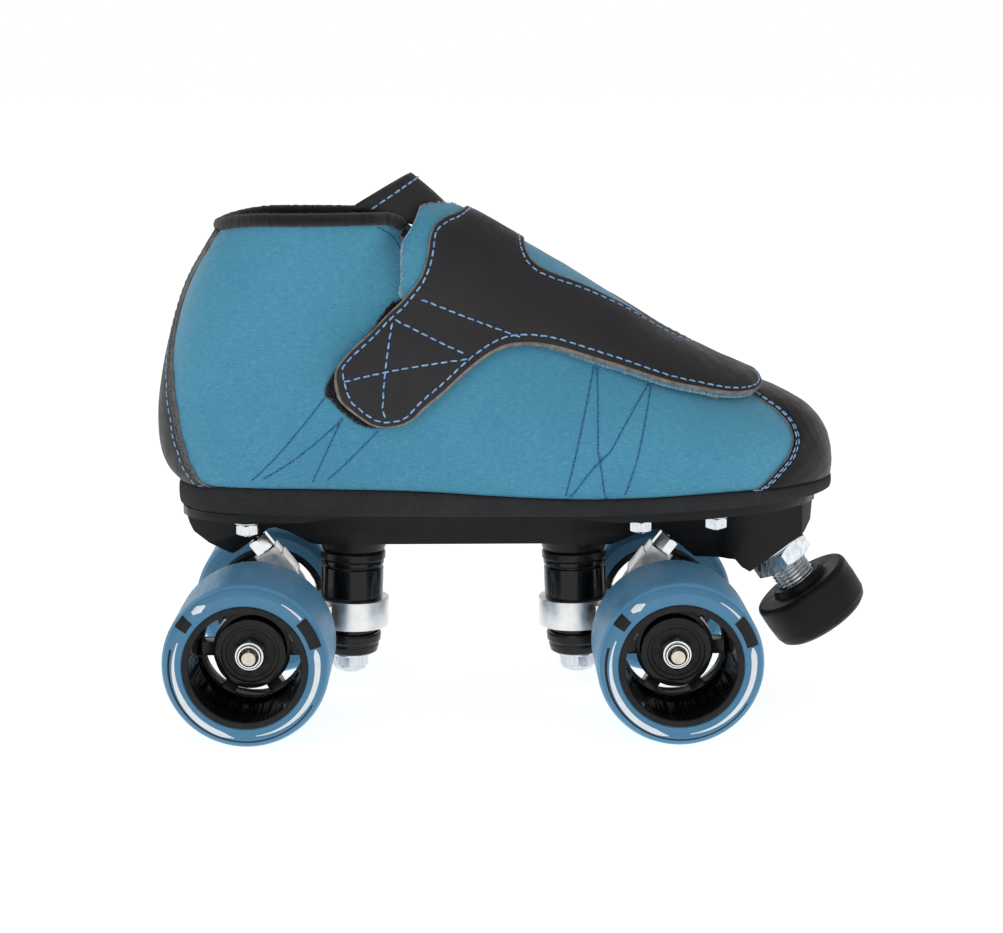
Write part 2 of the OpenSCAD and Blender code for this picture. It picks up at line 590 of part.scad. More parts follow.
module pivot_nut() { color("#f0f1f2") at_pivot() translate([0, 0, 2.2]) hex_nut(pivot_nut_af, 6.2, pin_r); }
race_r = 5.3;
// the still parts on the axle: the inner race of each bearing and the spacer between them
module bearing_races() {
    color("#c4c6c9")
        for (side = [-1, 1])
            for (part = [[0, bearing_w, race_r], [bearing_w, spacer_len, race_r - 0.6],
                         [bearing_w + spacer_len, bearing_w, race_r]])
                translate([-axle_x, side * (wheel_inner_y + part[0]), axle_z]) rotate([-side * 90, 0, 0])
                    difference() {
                        cylinder(r = part[2], h = part[1]);
                        translate([0, 0, -1]) cylinder(r = axle_r, h = part[1] + 2);
                    }
}

// ---------------------------------------------------------------- wheels, drawn with their axle along +z
// z = 0 is the wheel's inner face, and the dished outer face is at z = wheel_w
edge_r = 4;
wheel_r = wheel_d / 2;
tread_r = wheel_r - edge_r;
face_flat_r = 27.6;
module tyre() {
    color("#4a86b0")
        rotate_extrude($fn = 96)
            polygon([[hub_r, 0.6], [face_flat_r, 0],
                for (k = [0:6]) [tread_r + edge_r * sin(15 * k), edge_r - edge_r * cos(15 * k) + 0.2],
                for (k = [6:-1:0])
                    [tread_r + edge_r * sin(15 * k), wheel_w - edge_r + edge_r * cos(15 * k) - 0.2],
                [face_flat_r, wheel_w], [hub_r, wheel_w]]);
}
seat_r = bearing_od / 2;
seat_wall = 2.3;
hub_dish_r = 21;
stack = 2 * bearing_w + spacer_len;
web_low = 8;
web_high = 17.5;
spoke_w = 5.2;
module hub() {
    color("#141416")
        difference() {
            union() {
                rotate_extrude($fn = 96)
                    polygon([[hub_r - 2.4, 0.6], [hub_r - skin / 5, 0.6], [hub_r - skin / 5, wheel_w],
                        [hub_dish_r, wheel_w], [hub_dish_r - 0.8, web_high + 4],
                        [hub_dish_r - 2, web_high + 0.5], [hub_dish_r - 2, web_low - 0.5]]);
                cylinder(r = seat_r + seat_wall, h = stack + 0.6);
                for (k = [0:hub_spokes - 1])
                    rotate([0, 0, 360 * k / hub_spokes])
                        translate([seat_r + 1, -spoke_w / 2, web_low + 0.4])
                            cube([hub_dish_r - seat_r - 0.6, spoke_w, web_high - web_low - 1]);
                translate([0, 0, web_low]) cylinder(r = seat_r + seat_wall + 1.5, h = web_high - web_low);
            }
            translate([0, 0, -1]) cylinder(r = seat_r, h = bearing_w + 1);
            translate([0, 0, bearing_w + spacer_len]) cylinder(r = seat_r, h = bearing_w + 5);
            translate([0, 0, -1]) cylinder(r = seat_r - 1.6, h = stack + 5);
        }
}
outer_race_r = 9.2;
ball_r = 1.93;
balls = 7;
shield_t = 0.4;
module bearings() {
    color("#2e4560")
        for (z = [0, bearing_w + spacer_len])
            translate([0, 0, z]) {
                difference() {
                    cylinder(r = seat_r, h = bearing_w);
                    translate([0, 0, -1]) cylinder(r = outer_race_r, h = bearing_w + 2);
                }
                for (face = [0.2, bearing_w - shield_t - 0.2])
                    translate([0, 0, face])
                        difference() {
                            cylinder(r = outer_race_r, h = shield_t);
                            translate([0, 0, -1]) cylinder(r = race_r + 0.2, h = 3);
                        }
                for (k = [0:balls - 1])
                    rotate([0, 0, 360 * k / balls])
                        translate([(outer_race_r + race_r) / 2, 0, bearing_w / 2]) sphere(r = ball_r);
            }
}
// end: -1 rear, 1 front; side: -1 outer, 1 inner
module at_wheel(end, side)
    translate([end * axle_x, side * wheel_inner_y, axle_z]) rotate([-side * 90, 0, 0]) children();

// ---------------------------------------------------------------- toe stop
nut_start = 0.2;
stem_nut_af = 24;
stem_nut_t = 8.4;
pad_top = 19.2;
collar_h = 2.4;
module toe_stop_nut() {
    color("#c9d2d8")
        at_stem() translate([0, 0, nut_start]) hex_nut(stem_nut_af, stem_nut_t, stem_r + run_gap);
}
stem_in = 12;
module toe_stop_stem() {
    color("#b5b8bb") at_stem() translate([0, 0, -stem_in]) cylinder(r = stem_r, h = stem_in + pad_top + 10);
}
stopper_r = stopper_d / 2;
stopper_round = 4;
module toe_stop_pad() {
    color("#1f1f21")
        at_stem()
            difference() {
                rotate_extrude($fn = 96)
                    polygon([[0, pad_top - collar_h], [10.6, pad_top - collar_h], [11.4, pad_top],
                        [stopper_r - 1.4, pad_top], [stopper_r - 0.3, pad_top + 0.6],
                        [stopper_r, pad_top + 1.6],
                        for (k = [0:6]) [stopper_r - 1.2 - stopper_round + stopper_round * cos(15 * k),
                            pad_top + stopper_h - stopper_round + stopper_round * sin(15 * k)],
                        [0, pad_top + stopper_h]]);
                translate([0, 0, -20]) cylinder(r = stem_r, h = 20 + pad_top + 10);
            }
}

// ---------------------------------------------------------------- output
module place() translate([-frame_x, 0, 0]) children();
module front() mirror([1, 0, 0]) children();
place() outsole();
place() insole();
place() outer_quarter();
place() inner_quarter();
place() lining();
place() heel_counter();
place() toe_cap();
place() collar_binding();
place() tongue();
place() eyestays();
place() laces();
place() loop_pad();
place() cover_canvas();
place() cover_overlay();
place() hook_pad();
place() plate();
place() mounting_bolts();
place() mounting_washers();
place() mounting_nuts();
place() pivot_cups();
place() kingpin();  // rear_kingpin
place() kingpin_nut();  // rear_kingpin_nut
place() upper_cushion();  // rear_upper_cushion
place() lower_cushion();  // rear_lower_cushion
place() cushion_retainers();  // rear_cushion_retainers
place() hanger();  // rear_hanger
place() axle();  // rear_axle
place() axle_nuts();  // rear_axle_nuts
place() pivot_pin();  // rear_pivot_pin
place() pivot_nut();  // rear_pivot_nut
place() bearing_races();  // rear_bearing_races
place() front() kingpin();  // front_kingpin
place() front() kingpin_nut();  // front_kingpin_nut
place() front() upper_cushion();  // front_upper_cushion
place() front() lower_cushion();  // front_lower_cushion
place() front() cushion_retainers();  // front_cushion_retainers
place() front() hanger();  // front_hanger
place() front() axle();  // front_axle
place() front() axle_nuts();  // front_axle_nuts
place() front() pivot_pin();  // front_pivot_pin
place() front() pivot_nut();  // front_pivot_nut
place() front() bearing_races();  // front_bearing_races
place() at_wheel(-1, -1) tyre();  // rear_outer_tyre
place() at_wheel(-1, -1) hub();  // rear_outer_hub
place() at_wheel(-1, -1) bearings();  // rear_outer_bearings
place() at_wheel(-1, 1) tyre();  // rear_inner_tyre
place() at_wheel(-1, 1) hub();  // rear_inner_hub
place() at_wheel(-1, 1) bearings();  // rear_inner_bearings
place() at_wheel(1, -1) tyre();  // front_outer_tyre
place() at_wheel(1, -1) hub();  // front_outer_hub
place() at_wheel(1, -1) bearings();  // front_outer_bearings
place() at_wheel(1, 1) tyre();  // front_inner_tyre
place() at_wheel(1, 1) hub();  // front_inner_hub
place() at_wheel(1, 1) bearings();  // front_inner_bearings
place() toe_stop_nut();
place() toe_stop_stem();
place() toe_stop_pad();
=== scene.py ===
import json
import math
import random

import bmesh
import bpy
import numpy as np
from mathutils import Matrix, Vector
from mathutils.geometry import delaunay_2d_cdt

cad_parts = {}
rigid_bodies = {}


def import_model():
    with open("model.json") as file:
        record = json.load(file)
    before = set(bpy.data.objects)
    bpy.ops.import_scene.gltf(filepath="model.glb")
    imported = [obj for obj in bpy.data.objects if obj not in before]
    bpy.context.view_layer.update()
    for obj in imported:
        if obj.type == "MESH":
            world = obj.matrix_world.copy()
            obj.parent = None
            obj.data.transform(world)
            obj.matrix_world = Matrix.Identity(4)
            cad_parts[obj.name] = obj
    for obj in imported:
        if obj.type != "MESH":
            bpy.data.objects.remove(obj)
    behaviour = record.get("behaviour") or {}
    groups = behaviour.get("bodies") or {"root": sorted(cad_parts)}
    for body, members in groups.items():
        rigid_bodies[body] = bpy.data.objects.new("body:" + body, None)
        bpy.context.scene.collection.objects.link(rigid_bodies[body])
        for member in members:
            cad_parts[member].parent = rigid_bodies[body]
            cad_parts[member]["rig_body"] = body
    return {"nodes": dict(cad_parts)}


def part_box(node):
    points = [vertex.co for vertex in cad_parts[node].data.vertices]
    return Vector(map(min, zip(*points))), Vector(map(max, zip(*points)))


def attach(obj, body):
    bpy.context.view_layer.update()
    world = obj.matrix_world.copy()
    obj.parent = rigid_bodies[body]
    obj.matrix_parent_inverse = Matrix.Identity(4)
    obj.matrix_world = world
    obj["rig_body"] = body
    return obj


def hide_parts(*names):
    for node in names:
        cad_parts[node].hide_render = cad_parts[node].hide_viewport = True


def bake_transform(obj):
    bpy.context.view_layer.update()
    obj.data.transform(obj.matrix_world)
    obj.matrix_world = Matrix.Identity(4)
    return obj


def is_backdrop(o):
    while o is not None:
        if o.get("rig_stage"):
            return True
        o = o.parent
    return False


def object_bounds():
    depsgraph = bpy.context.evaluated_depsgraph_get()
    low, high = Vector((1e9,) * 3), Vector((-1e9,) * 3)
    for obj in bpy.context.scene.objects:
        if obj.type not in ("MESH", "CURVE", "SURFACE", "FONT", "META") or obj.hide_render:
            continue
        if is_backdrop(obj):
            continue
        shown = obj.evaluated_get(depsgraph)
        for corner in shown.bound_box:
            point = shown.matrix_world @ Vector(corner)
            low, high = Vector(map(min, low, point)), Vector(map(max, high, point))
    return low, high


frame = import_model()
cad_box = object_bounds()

# ---------------------------------------------------------------- places
# Shapes are drawn in millimetres from the middle of the wheelbase, on the floor, as the solids are.
MM = 0.001
TAU = 2 * math.pi


def middle(node):
    low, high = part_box(node)
    return (low + high) / 2


REAR_WHEEL = middle("rear_outer_tyre")
FRONT_WHEEL = middle("front_outer_tyre")
MIDDLE_X = (REAR_WHEEL.x + FRONT_WHEEL.x) / 2
AXLE_X = (FRONT_WHEEL.x - REAR_WHEEL.x) / 2 / MM
AXLE_Z = REAR_WHEEL.z / MM
WHEEL_INNER_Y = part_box("rear_inner_tyre")[0].y / MM
WHEEL_W = (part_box("rear_inner_tyre")[1].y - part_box("rear_inner_tyre")[0].y) / MM
SHIFT = np.array([MIDDLE_X, 0, 0])


def metres(points):
    return np.asarray(points, float) * MM + SHIFT


# ---------------------------------------------------------------- meshes
def linked(name, data):
    """A new object in the scene."""
    made = bpy.data.objects.new(name, data)
    bpy.context.scene.collection.objects.link(made)
    return made


def piece(name, points, faces, body, materials, stands_for=(), kinds=None, uv=None, sharp=38):
    """A mesh piece from points in skate millimetres. kinds gives the material index of each face."""
    mesh = bpy.data.meshes.new(name)
    mesh.from_pydata(metres(points).tolist(), [], [list(map(int, f)) for f in faces])
    for material in materials:
        mesh.materials.append(material)
    if kinds is not None:
        mesh.polygons.foreach_set("material_index", np.asarray(kinds, np.int32))
    if uv is not None:
        layer = mesh.uv_layers.new(name="cloth")
        corners = np.zeros(len(mesh.loops), np.int32)
        mesh.loops.foreach_get("vertex_index", corners)
        layer.data.foreach_set("uv", np.asarray(uv, np.float32)[corners].ravel())
    mesh.polygons.foreach_set("use_smooth", np.ones(len(mesh.polygons), bool))
    mesh.update()
    mesh.set_sharp_from_angle(angle=math.radians(sharp))
    made = linked(name, mesh)
    if body:
        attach(made, body)
    if stands_for:
        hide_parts(*stands_for)
    return made


class Build:
    """Collects points and faces of several shapes into one piece."""

    def __init__(self):
        self.points, self.faces, self.kinds, self.uv = [], [], [], []
        self.count = 0

    def add(self, points, faces, kind=0, uv=None):
        points = np.asarray(points, float).reshape(-1, 3)
        self.points.append(points)
        self.uv.append(np.zeros((len(points), 2)) if uv is None else np.asarray(uv, float))
        self.faces += [[i + self.count for i in f] for f in faces]
        self.kinds += list(kind) if hasattr(kind, "__len__") else [kind] * len(faces)
        self.count += len(points)
        return self

    def put(self, shape, spot, kind=0):
        """Adds points and faces drawn about the origin, moved into a place."""
        return self.add(placed(shape[0], spot), shape[1], kind)

    def made(self, name, body, materials, slot, stands_for=(), sharp=38):
        return piece(name, np.concatenate(self.points), self.faces, body, materials, stands_for,
                     self.kinds, np.concatenate(self.uv), sharp)


def grid_faces(rows, cols, wrap_rows=False, wrap_cols=False, flip=False):
    faces = []
    for i in range(rows if wrap_rows else rows - 1):
        for j in range(cols if wrap_cols else cols - 1):
            a, b = i * cols + j, i * cols + (j + 1) % cols
            c, d = ((i + 1) % rows) * cols + (j + 1) % cols, ((i + 1) % rows) * cols + j
            faces.append([a, d, c, b] if flip else [a, b, c, d])
    return faces


def shell_faces(rows, cols):
    """Closed shell between two grids, the outer one first, with the material index of each face."""
    n = rows * cols
    faces = grid_faces(rows, cols) + [[i + n for i in f] for f in grid_faces(rows, cols, flip=True)]
    kinds = [0] * (rows - 1) * (cols - 1) + [1] * (rows - 1) * (cols - 1)
    rim = list(range(cols)) + [i * cols + cols - 1 for i in range(1, rows)]
    rim += [(rows - 1) * cols + j for j in range(cols - 2, -1, -1)]
    rim += [i * cols for i in range(rows - 2, 0, -1)]
    for k, a in enumerate(rim):
        b = rim[(k + 1) % len(rim)]
        faces.append([b, a, a + n, b + n])
        kinds.append(2)
    return faces, kinds


def fillet(corners, radius, steps=4):
    """A closed outline with each corner rounded. radius is one number or one per corner."""
    corners = [np.array(c, float) for c in corners]
    count = len(corners)
    radii = radius if hasattr(radius, "__len__") else [radius] * count
    out = []
    for k, here in enumerate(corners):
        before, after = corners[k - 1] - here, corners[(k + 1) % count] - here
        reach = min(np.linalg.norm(before), np.linalg.norm(after)) * 0.45
        u, v = before / np.linalg.norm(before), after / np.linalg.norm(after)
        half = math.acos(float(np.clip(u @ v, -1, 1))) / 2
        if radii[k] <= 0 or half > math.radians(86):
            out.append(here)
            continue
        cut = min(radii[k] / math.tan(half), reach)
        for s in range(steps + 1):
            f = s / steps
            out.append(here + (1 - f) ** 2 * cut * u + f ** 2 * cut * v)
    return np.array(out)


def turned(profile, count=72):
    """Points and faces of a closed outline of (radius, height) turned about local z."""
    profile = np.asarray(profile, float)
    angles = np.arange(count) * TAU / count
    points = np.array([[r * math.cos(w), r * math.sin(w), z] for w in angles for r, z in profile])
    return points, grid_faces(count, len(profile), True, True)


def arc(radius, degrees):
    """Points of a circle about the origin, as (radius, height), at angles from its lowest point."""
    return [(radius * math.sin(math.radians(w)), -radius * math.cos(math.radians(w))) for w in degrees]


def lathe(outline, radius, count):
    """An outline of (radius, height) with its corners rounded, turned about local z."""
    return turned(fillet(outline, radius), count)


def frame_of(origin, axis, up=(0, 1, 0)):
    """Origin and a matrix whose columns are the local x, y and z, with z along axis."""
    z = np.array(axis, float) / np.linalg.norm(axis)
    x = np.cross(up, z)
    x /= np.linalg.norm(x)
    return np.array(origin, float), np.stack([x, np.cross(z, x), z], 1)


def placed(points, spot):
    origin, turn = spot
    return np.asarray(points, float) @ turn.T + origin


def hexagon(angle, across):
    """Distance from the middle to a hexagon's side at an angle."""
    return across / 2 / math.cos((angle + math.pi / 6) % (math.pi / 3) - math.pi / 6)


def hex_nut(across, height, bore, foot=0, count=96):
    """A chamfered hex nut about local z, standing on z = foot."""
    flat = across / 2 * 0.97
    rings = []
    for w in np.arange(count) * TAU / count:
        edge = hexagon(w, across)
        drop = max(edge - flat, 0) * math.tan(math.radians(30))
        low = foot + drop
        loop = [(bore, foot + 0.5), (bore + 0.5, foot), (min(flat, edge) * 0.99, foot), (edge, low + 0.05),
                (edge, foot + height - drop - 0.05), (min(flat, edge) * 0.99, foot + height),
                (bore + 0.5, foot + height), (bore, foot + height - 0.5)]
        rings += [[r * math.cos(w), r * math.sin(w), z] for r, z in loop]
    return np.array(rings), grid_faces(count, 8, True, True)


def threaded(radius, low, high, pitch, depth, count=48, chamfer=1.0):
    """A screw thread about local z, with chamfered closed ends."""
    rows = max(int((high - low) / pitch * 6), 8)
    points = []
    for i in range(rows + 1):
        z = low + (high - low) * i / rows
        ends = min(z - low, high - z)
        for k in range(count):
            f = (z / pitch - k / count) % 1
            r = radius - depth * (1 - abs(2 * f - 1)) - max(chamfer - ends, 0) * 0.7
            points.append([r * math.cos(TAU * k / count), r * math.sin(TAU * k / count), z])
    faces = grid_faces(rows + 1, count, wrap_cols=True)
    faces += [list(range(count))[::-1], [rows * count + k for k in range(count)]]
    return np.array(points), faces


def tube(path, radii, sides=10, flat=1.0, ups=None):
    """A closed tube along a path. radii is one number or one per point, flat narrows it on the up side."""
    path = np.asarray(path, float)
    n = len(path)
    radii = np.broadcast_to(np.asarray(radii, float), n)
    ahead = np.gradient(path, axis=0)
    ahead /= np.linalg.norm(ahead, axis=1, keepdims=True)
    up = np.array(ups) if ups is not None else np.tile([0.0, 0.0, 1.0], (n, 1))
    side = np.cross(ahead, up)
    side /= np.maximum(np.linalg.norm(side, axis=1, keepdims=True), 1e-9)
    up = np.cross(side, ahead)
    angles = np.arange(sides) * TAU / sides
    rings = (path[:, None] + radii[:, None, None] * (np.cos(angles)[None, :, None] * side[:, None]
             + flat * np.sin(angles)[None, :, None] * up[:, None]))
    faces = grid_faces(n, sides, wrap_cols=True, flip=True)
    faces += [list(range(sides)), [(n - 1) * sides + k for k in range(sides)][::-1]]
    return rings.reshape(-1, 3), faces


def softened(node, name, width, material, angle=32, segments=3):
    """A copy of a CAD node's own mesh with its hard edges rounded, which stands for that node."""
    source = frame["nodes"][node]
    made = linked(name, source.data.copy())
    mesh = made.data
    bm = bmesh.new()
    bm.from_mesh(mesh)
    bmesh.ops.remove_doubles(bm, verts=bm.verts, dist=2e-5)
    bmesh.ops.dissolve_limit(bm, angle_limit=math.radians(1), verts=bm.verts, edges=bm.edges)
    bm.to_mesh(mesh)
    bm.free()
    bevel = made.modifiers.new("edges", "BEVEL")
    bevel.width = width * MM
    bevel.segments = segments
    bevel.limit_method = "ANGLE"
    bevel.angle_limit = math.radians(angle)
    bevel.use_clamp_overlap = True
    deps = bpy.context.evaluated_depsgraph_get()
    made.data = bpy.data.meshes.new_from_object(made.evaluated_get(deps))
    made.modifiers.clear()
    made.data.materials.clear()
    made.data.materials.append(material)
    made.data.polygons.foreach_set("use_smooth", np.ones(len(made.data.polygons), bool))
    made.data.set_sharp_from_angle(angle=math.radians(30))
    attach(made, source["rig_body"])
    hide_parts(node)
    return made


# ---------------------------------------------------------------- materials
class Shader:
    """A procedural material: a few nodes and the sockets that the makers below use."""

    def __init__(self, name, color, rough, metallic=0.0, coat=0.0, sheen=0.0, specular=0.5):
        self.material = bpy.data.materials.new(name)
        self.material.use_nodes = True
        self.tree = self.material.node_tree
        self.base = self.tree.nodes["Principled BSDF"]
        self.set("Base Color", (*color, 1))
        self.set("Roughness", rough)
        self.set("Metallic", metallic)
        self.set("Coat Weight", coat)
        self.set("Coat Roughness", 0.08)
        self.set("Sheen Weight", sheen)
        self.set("Sheen Roughness", 0.5)
        self.set("Specular IOR Level", specular)
        self.coordinates = self.tree.nodes.new("ShaderNodeTexCoord")

    def set(self, name, value):
        self.base.inputs[name].default_value = value

    def node(self, kind, **inputs):
        made = self.tree.nodes.new(kind)
        for key, value in inputs.items():
            self.feed(made.inputs[key.replace("_", " ")], value)
        return made

    def feed(self, socket, value):
        if isinstance(value, bpy.types.NodeSocket):
            self.tree.links.new(value, socket)
        else:
            socket.default_value = value

    def math(self, operation, a, b=0.0):
        made = self.tree.nodes.new("ShaderNodeMath")
        made.operation = operation
        self.feed(made.inputs[0], a)
        self.feed(made.inputs[1], b)
        return made.outputs[0]

    def place(self, source="Object", stretch=(1, 1, 1)):
        made = self.node("ShaderNodeMapping", Vector=self.coordinates.outputs[source], Scale=stretch)
        return made.outputs["Vector"]

    def noise(self, size_mm, detail=4.0, vector=None, rough=0.55):
        """Noise from 0 to 1 whose patches are about size_mm across."""
        return self.node("ShaderNodeTexNoise", Vector=vector or self.place(), Scale=1 / (size_mm * MM),
                         Detail=detail, Roughness=rough).outputs["Fac"]

    def cells(self, size_mm, vector=None, feature="F1"):
        made = self.tree.nodes.new("ShaderNodeTexVoronoi")
        made.feature = feature
        self.feed(made.inputs["Vector"], vector or self.place())
        made.inputs["Scale"].default_value = 1 / (size_mm * MM)
        return made.outputs["Distance"]

    def between(self, value, low, high, a, b):
        """a where value is under low, b where it is over high, and smooth between."""
        made = self.node("ShaderNodeMapRange", Value=value, From_Min=low, From_Max=high, To_Min=a, To_Max=b)
        made.interpolation_type = "SMOOTHSTEP"
        return made.outputs["Result"]

    def tint(self, factor, color, amount=1.0, blend="MIX"):
        """Mixes another colour into the base colour by factor."""
        mix = self.tree.nodes.new("ShaderNodeMix")
        mix.data_type = "RGBA"
        mix.blend_type = blend
        socket = self.base.inputs["Base Color"]
        if socket.links:
            self.feed(mix.inputs[6], socket.links[0].from_socket)
        else:
            mix.inputs[6].default_value = socket.default_value
        mix.inputs[7].default_value = (*color, 1)
        self.feed(mix.inputs[0], self.math("MULTIPLY", factor, amount))
        self.tree.links.new(mix.outputs[2], socket)
        return self

    def patches(self, value, low, high, color, amount):
        """Mixes a colour in where value is high."""
        return self.tint(self.between(value, low, high, 0, 1), srgb(color), amount)

    def roughen(self, factor, low, high):
        self.feed(self.base.inputs["Roughness"], self.between(factor, 0.3, 0.7, low, high))
        return self

    def relief(self, height, depth_mm, strength=1.0):
        """Adds a bump of that depth to the ones before it."""
        made = self.node("ShaderNodeBump", Height=height, Distance=depth_mm * MM, Strength=strength)
        if self.base.inputs["Normal"].links:
            self.tree.links.new(self.base.inputs["Normal"].links[0].from_socket, made.inputs["Normal"])
        self.tree.links.new(made.outputs["Normal"], self.base.inputs["Normal"])
        return self


def srgb(text):
    """Linear colour from a hex code."""
    values = [int(text[i:i + 2], 16) / 255 for i in (0, 2, 4)]
    return tuple(v / 12.92 if v <= 0.04045 else ((v + 0.055) / 1.055) ** 2.4 for v in values)


def weave(shader, pitch, source="UV"):
    """Height of a plain weave of that pitch, from a flat cloth layout in metres."""
    flat = shader.node("ShaderNodeSeparateXYZ", Vector=shader.coordinates.outputs[source])
    turns = math.pi / (pitch * MM)
    warp = shader.math("SINE", shader.math("MULTIPLY", flat.outputs["X"], turns))
    weft = shader.math("SINE", shader.math("MULTIPLY", flat.outputs["Y"], turns))
    return shader.math("MULTIPLY_ADD", shader.math("MULTIPLY", warp, weft), 0.5)


def canvas(name, color, dark, light):
    shader = Shader(name, srgb(color), 0.86, sheen=0.25, specular=0.25)
    threads = weave(shader, 0.42)
    across = shader.noise(1, 3, shader.place("UV", (0.35, 3.2, 1)))
    along = shader.noise(1, 3, shader.place("UV", (3.2, 0.35, 1)))
    slubs = shader.noise(0.9, 2, shader.place("UV", (0.25, 2.6, 1)))
    shader.tint(shader.between(threads, -0.4, 0.5, 1, 0), srgb(dark), 0.5)
    shader.patches(across, 0.5, 0.68, light, 0.5)
    shader.patches(along, 0.5, 0.68, dark, 0.45)
    shader.patches(slubs, 0.52, 0.66, dark, 0.4)
    shader.patches(shader.noise(38, 2), 0.35, 0.7, dark, 0.22)
    shader.relief(threads, 0.10, 0.8).relief(across, 0.12, 0.5).relief(shader.noise(14, 2), 0.5, 0.25)
    return shader.material


def leather(name, color, warm, rough=(0.42, 0.58), specular=0.3):
    shader = Shader(name, srgb(color), 0.5, specular=specular)
    grain = shader.cells(0.75, shader.place(), "DISTANCE_TO_EDGE")
    fine = shader.noise(0.5, 3)
    broad = shader.noise(22, 3)
    shader.patches(broad, 0.35, 0.7, warm, 0.55)
    shader.tint(shader.between(grain, 0.0, 0.14, 1, 0), (0.008, 0.008, 0.009), 0.5)
    shader.roughen(shader.noise(6, 4), *rough)
    shader.relief(shader.between(grain, 0.0, 0.22, 0, 1), 0.05, 0.55).relief(fine, 0.05, 0.35)
    shader.relief(broad, 1.2, 0.12)
    return shader.material


def plain(name, color, rough, metallic=0.0, coat=0.0, sheen=0.0, grain=1.0, depth=0.02, other=None,
          mixed=0.4, specular=0.5, spread=0.08, patch=9.0):
    """A finish with a fine grain, uneven gloss and a second colour in patches."""
    shader = Shader(name, srgb(color), rough, metallic, coat, sheen, specular)
    fine = shader.noise(grain, 5)
    broad = shader.noise(patch, 3)
    shader.patches(broad, 0.35, 0.7, other or color, mixed)
    shader.patches(fine, 0.45, 0.75, other or color, mixed * 0.6)
    shader.roughen(shader.noise(patch * 0.6, 5), max(rough - spread, 0.02), min(rough + spread, 1))
    shader.relief(fine, depth, 0.6)
    return shader.material


def brushed(name, color, rough, stretch, depth=0.02, tone="8a8f94", mixed=0.3):
    """A metal with fine tool marks along one direction."""
    shader = Shader(name, srgb(color), rough, 1.0)
    marks = shader.noise(1.1, 4, shader.place("Object", stretch))
    shader.patches(marks, 0.4, 0.7, tone, mixed)
    shader.patches(shader.noise(5, 4), 0.5, 0.8, tone, mixed)
    shader.roughen(marks, max(rough - 0.07, 0.03), rough + 0.08)
    shader.relief(marks, depth, 0.5)
    return shader.material


def foam(name):
    shader = Shader(name, srgb("2c2c2e"), 0.85, specular=0.2)
    specks = shader.cells(0.9)
    pits = shader.noise(0.45, 3)
    shader.tint(shader.between(specks, 0.10, 0.28, 1, 0), srgb("555557"), 0.35)
    shader.patches(pits, 0.55, 0.72, "141415", 0.7)
    shader.patches(shader.noise(11, 3), 0.4, 0.7, "373739", 0.5)
    shader.relief(pits, 0.16, 0.7).relief(shader.noise(3, 3), 0.3, 0.3)
    return shader.material


def urethane(name, color):
    shader = Shader(name, srgb(color), 0.42, specular=0.35)
    shader.set("Subsurface Weight", 0.12)
    shader.set("Subsurface Scale", 0.002)
    shader.set("Subsurface Radius", (0.6, 0.8, 1.0))
    scuffs = shader.noise(1.6, 5, shader.place("Object", (1, 0.25, 1)))
    shader.tint(shader.between(shader.noise(16, 3), 0.35, 0.7, 0, 1), (0.05, 0.17, 0.31), 0.3)
    shader.patches(scuffs, 0.6, 0.8, "6a97b3", 0.25)
    shader.roughen(scuffs, 0.36, 0.52)
    shader.relief(scuffs, 0.03, 0.5).relief(shader.noise(0.5, 3), 0.02, 0.4)
    return shader.material


def fuzz(name, color, other):
    shader = Shader(name, srgb(color), 0.95, sheen=0.35, specular=0.1)
    tufts = shader.noise(0.5, 6, None, 0.75)
    shader.patches(tufts, 0.5, 0.68, other, 0.8)
    shader.relief(tufts, 0.5, 1.0)
    return shader.material


def knit(name, color, other, pitch=0.9):
    shader = Shader(name, srgb(color), 0.9, sheen=0.2, specular=0.2)
    vector = shader.place()
    wave = shader.node("ShaderNodeTexWave", Vector=vector, Scale=0.16 / (pitch * MM), Distortion=1.2,
                       Detail=2.0)
    wave.bands_direction = "DIAGONAL"
    shader.patches(wave.outputs["Fac"], 0.3, 0.7, other, 0.5)
    shader.patches(shader.noise(1.2, 4), 0.5, 0.7, other, 0.35)
    shader.relief(wave.outputs["Fac"], 0.12, 0.6).relief(shader.noise(0.6, 3), 0.1, 0.5)
    return shader.material


CANVAS = canvas("canvas", "4d98b6", "37799a", "74b4cc")
CANVAS_RAW = fuzz("canvas_raw_edge", "4b90ab", "86b3c4")
CANVAS_BACK = knit("canvas_back", "3b6f86", "2b586c")
LEATHER = leather("leather", "282629", "322f30")
CAP_LEATHER = leather("toe_cap_leather", "0c0b0c", "121011", (0.36, 0.46), 0.16)
LEATHER_RAW = plain("leather_raw_edge", "8b837c", 0.85, grain=0.4, depth=0.15, other="58524e", mixed=0.7,
                    patch=3)
STRIP_RAW = plain("strip_raw_edge", "6a686a", 0.9, grain=0.45, depth=0.15, other="2a292b", mixed=0.85,
                  patch=0.9, specular=0.2)
LINING = knit("lining_knit", "1c1c1f", "29292e")
BINDING = fuzz("binding_tape", "18181a", "2a2a2e")
HOOKS = fuzz("hook_and_loop", "0b0b0c", "1f1f21")
THREAD = plain("thread_blue", "5f9ad0", 0.6, sheen=0.3, grain=0.3, depth=0.08, other="aed3f0", mixed=0.75,
               patch=1.5)
# Dark marks for the needle holes between stitches on the leather: painted shade.
HOLE_SHADE_NAVY = plain("dark_hole_painted_shade", "14274a", 0.7, grain=0.3, depth=0.05, other="1c3862", mixed=0.6, patch=2)
THREAD_CANVAS = plain("thread_canvas", "2a6ba6", 0.7, sheen=0.2, grain=0.3, depth=0.06, other="1b568e",
                      mixed=0.7, patch=1.5)
# Dark blue marks for the needle holes between stitches on the canvas: painted shade.
HOLE_SHADE_BLUE = plain("blue_hole_painted_shade", "1d4f7a", 0.8, grain=0.3, depth=0.05, other="163c60", mixed=0.6, patch=2)
THREAD_PALE = plain("thread_pale", "b9c9d6", 0.7, sheen=0.3, grain=0.3, depth=0.05, other="7fb4cc",
                    mixed=0.7, patch=2)
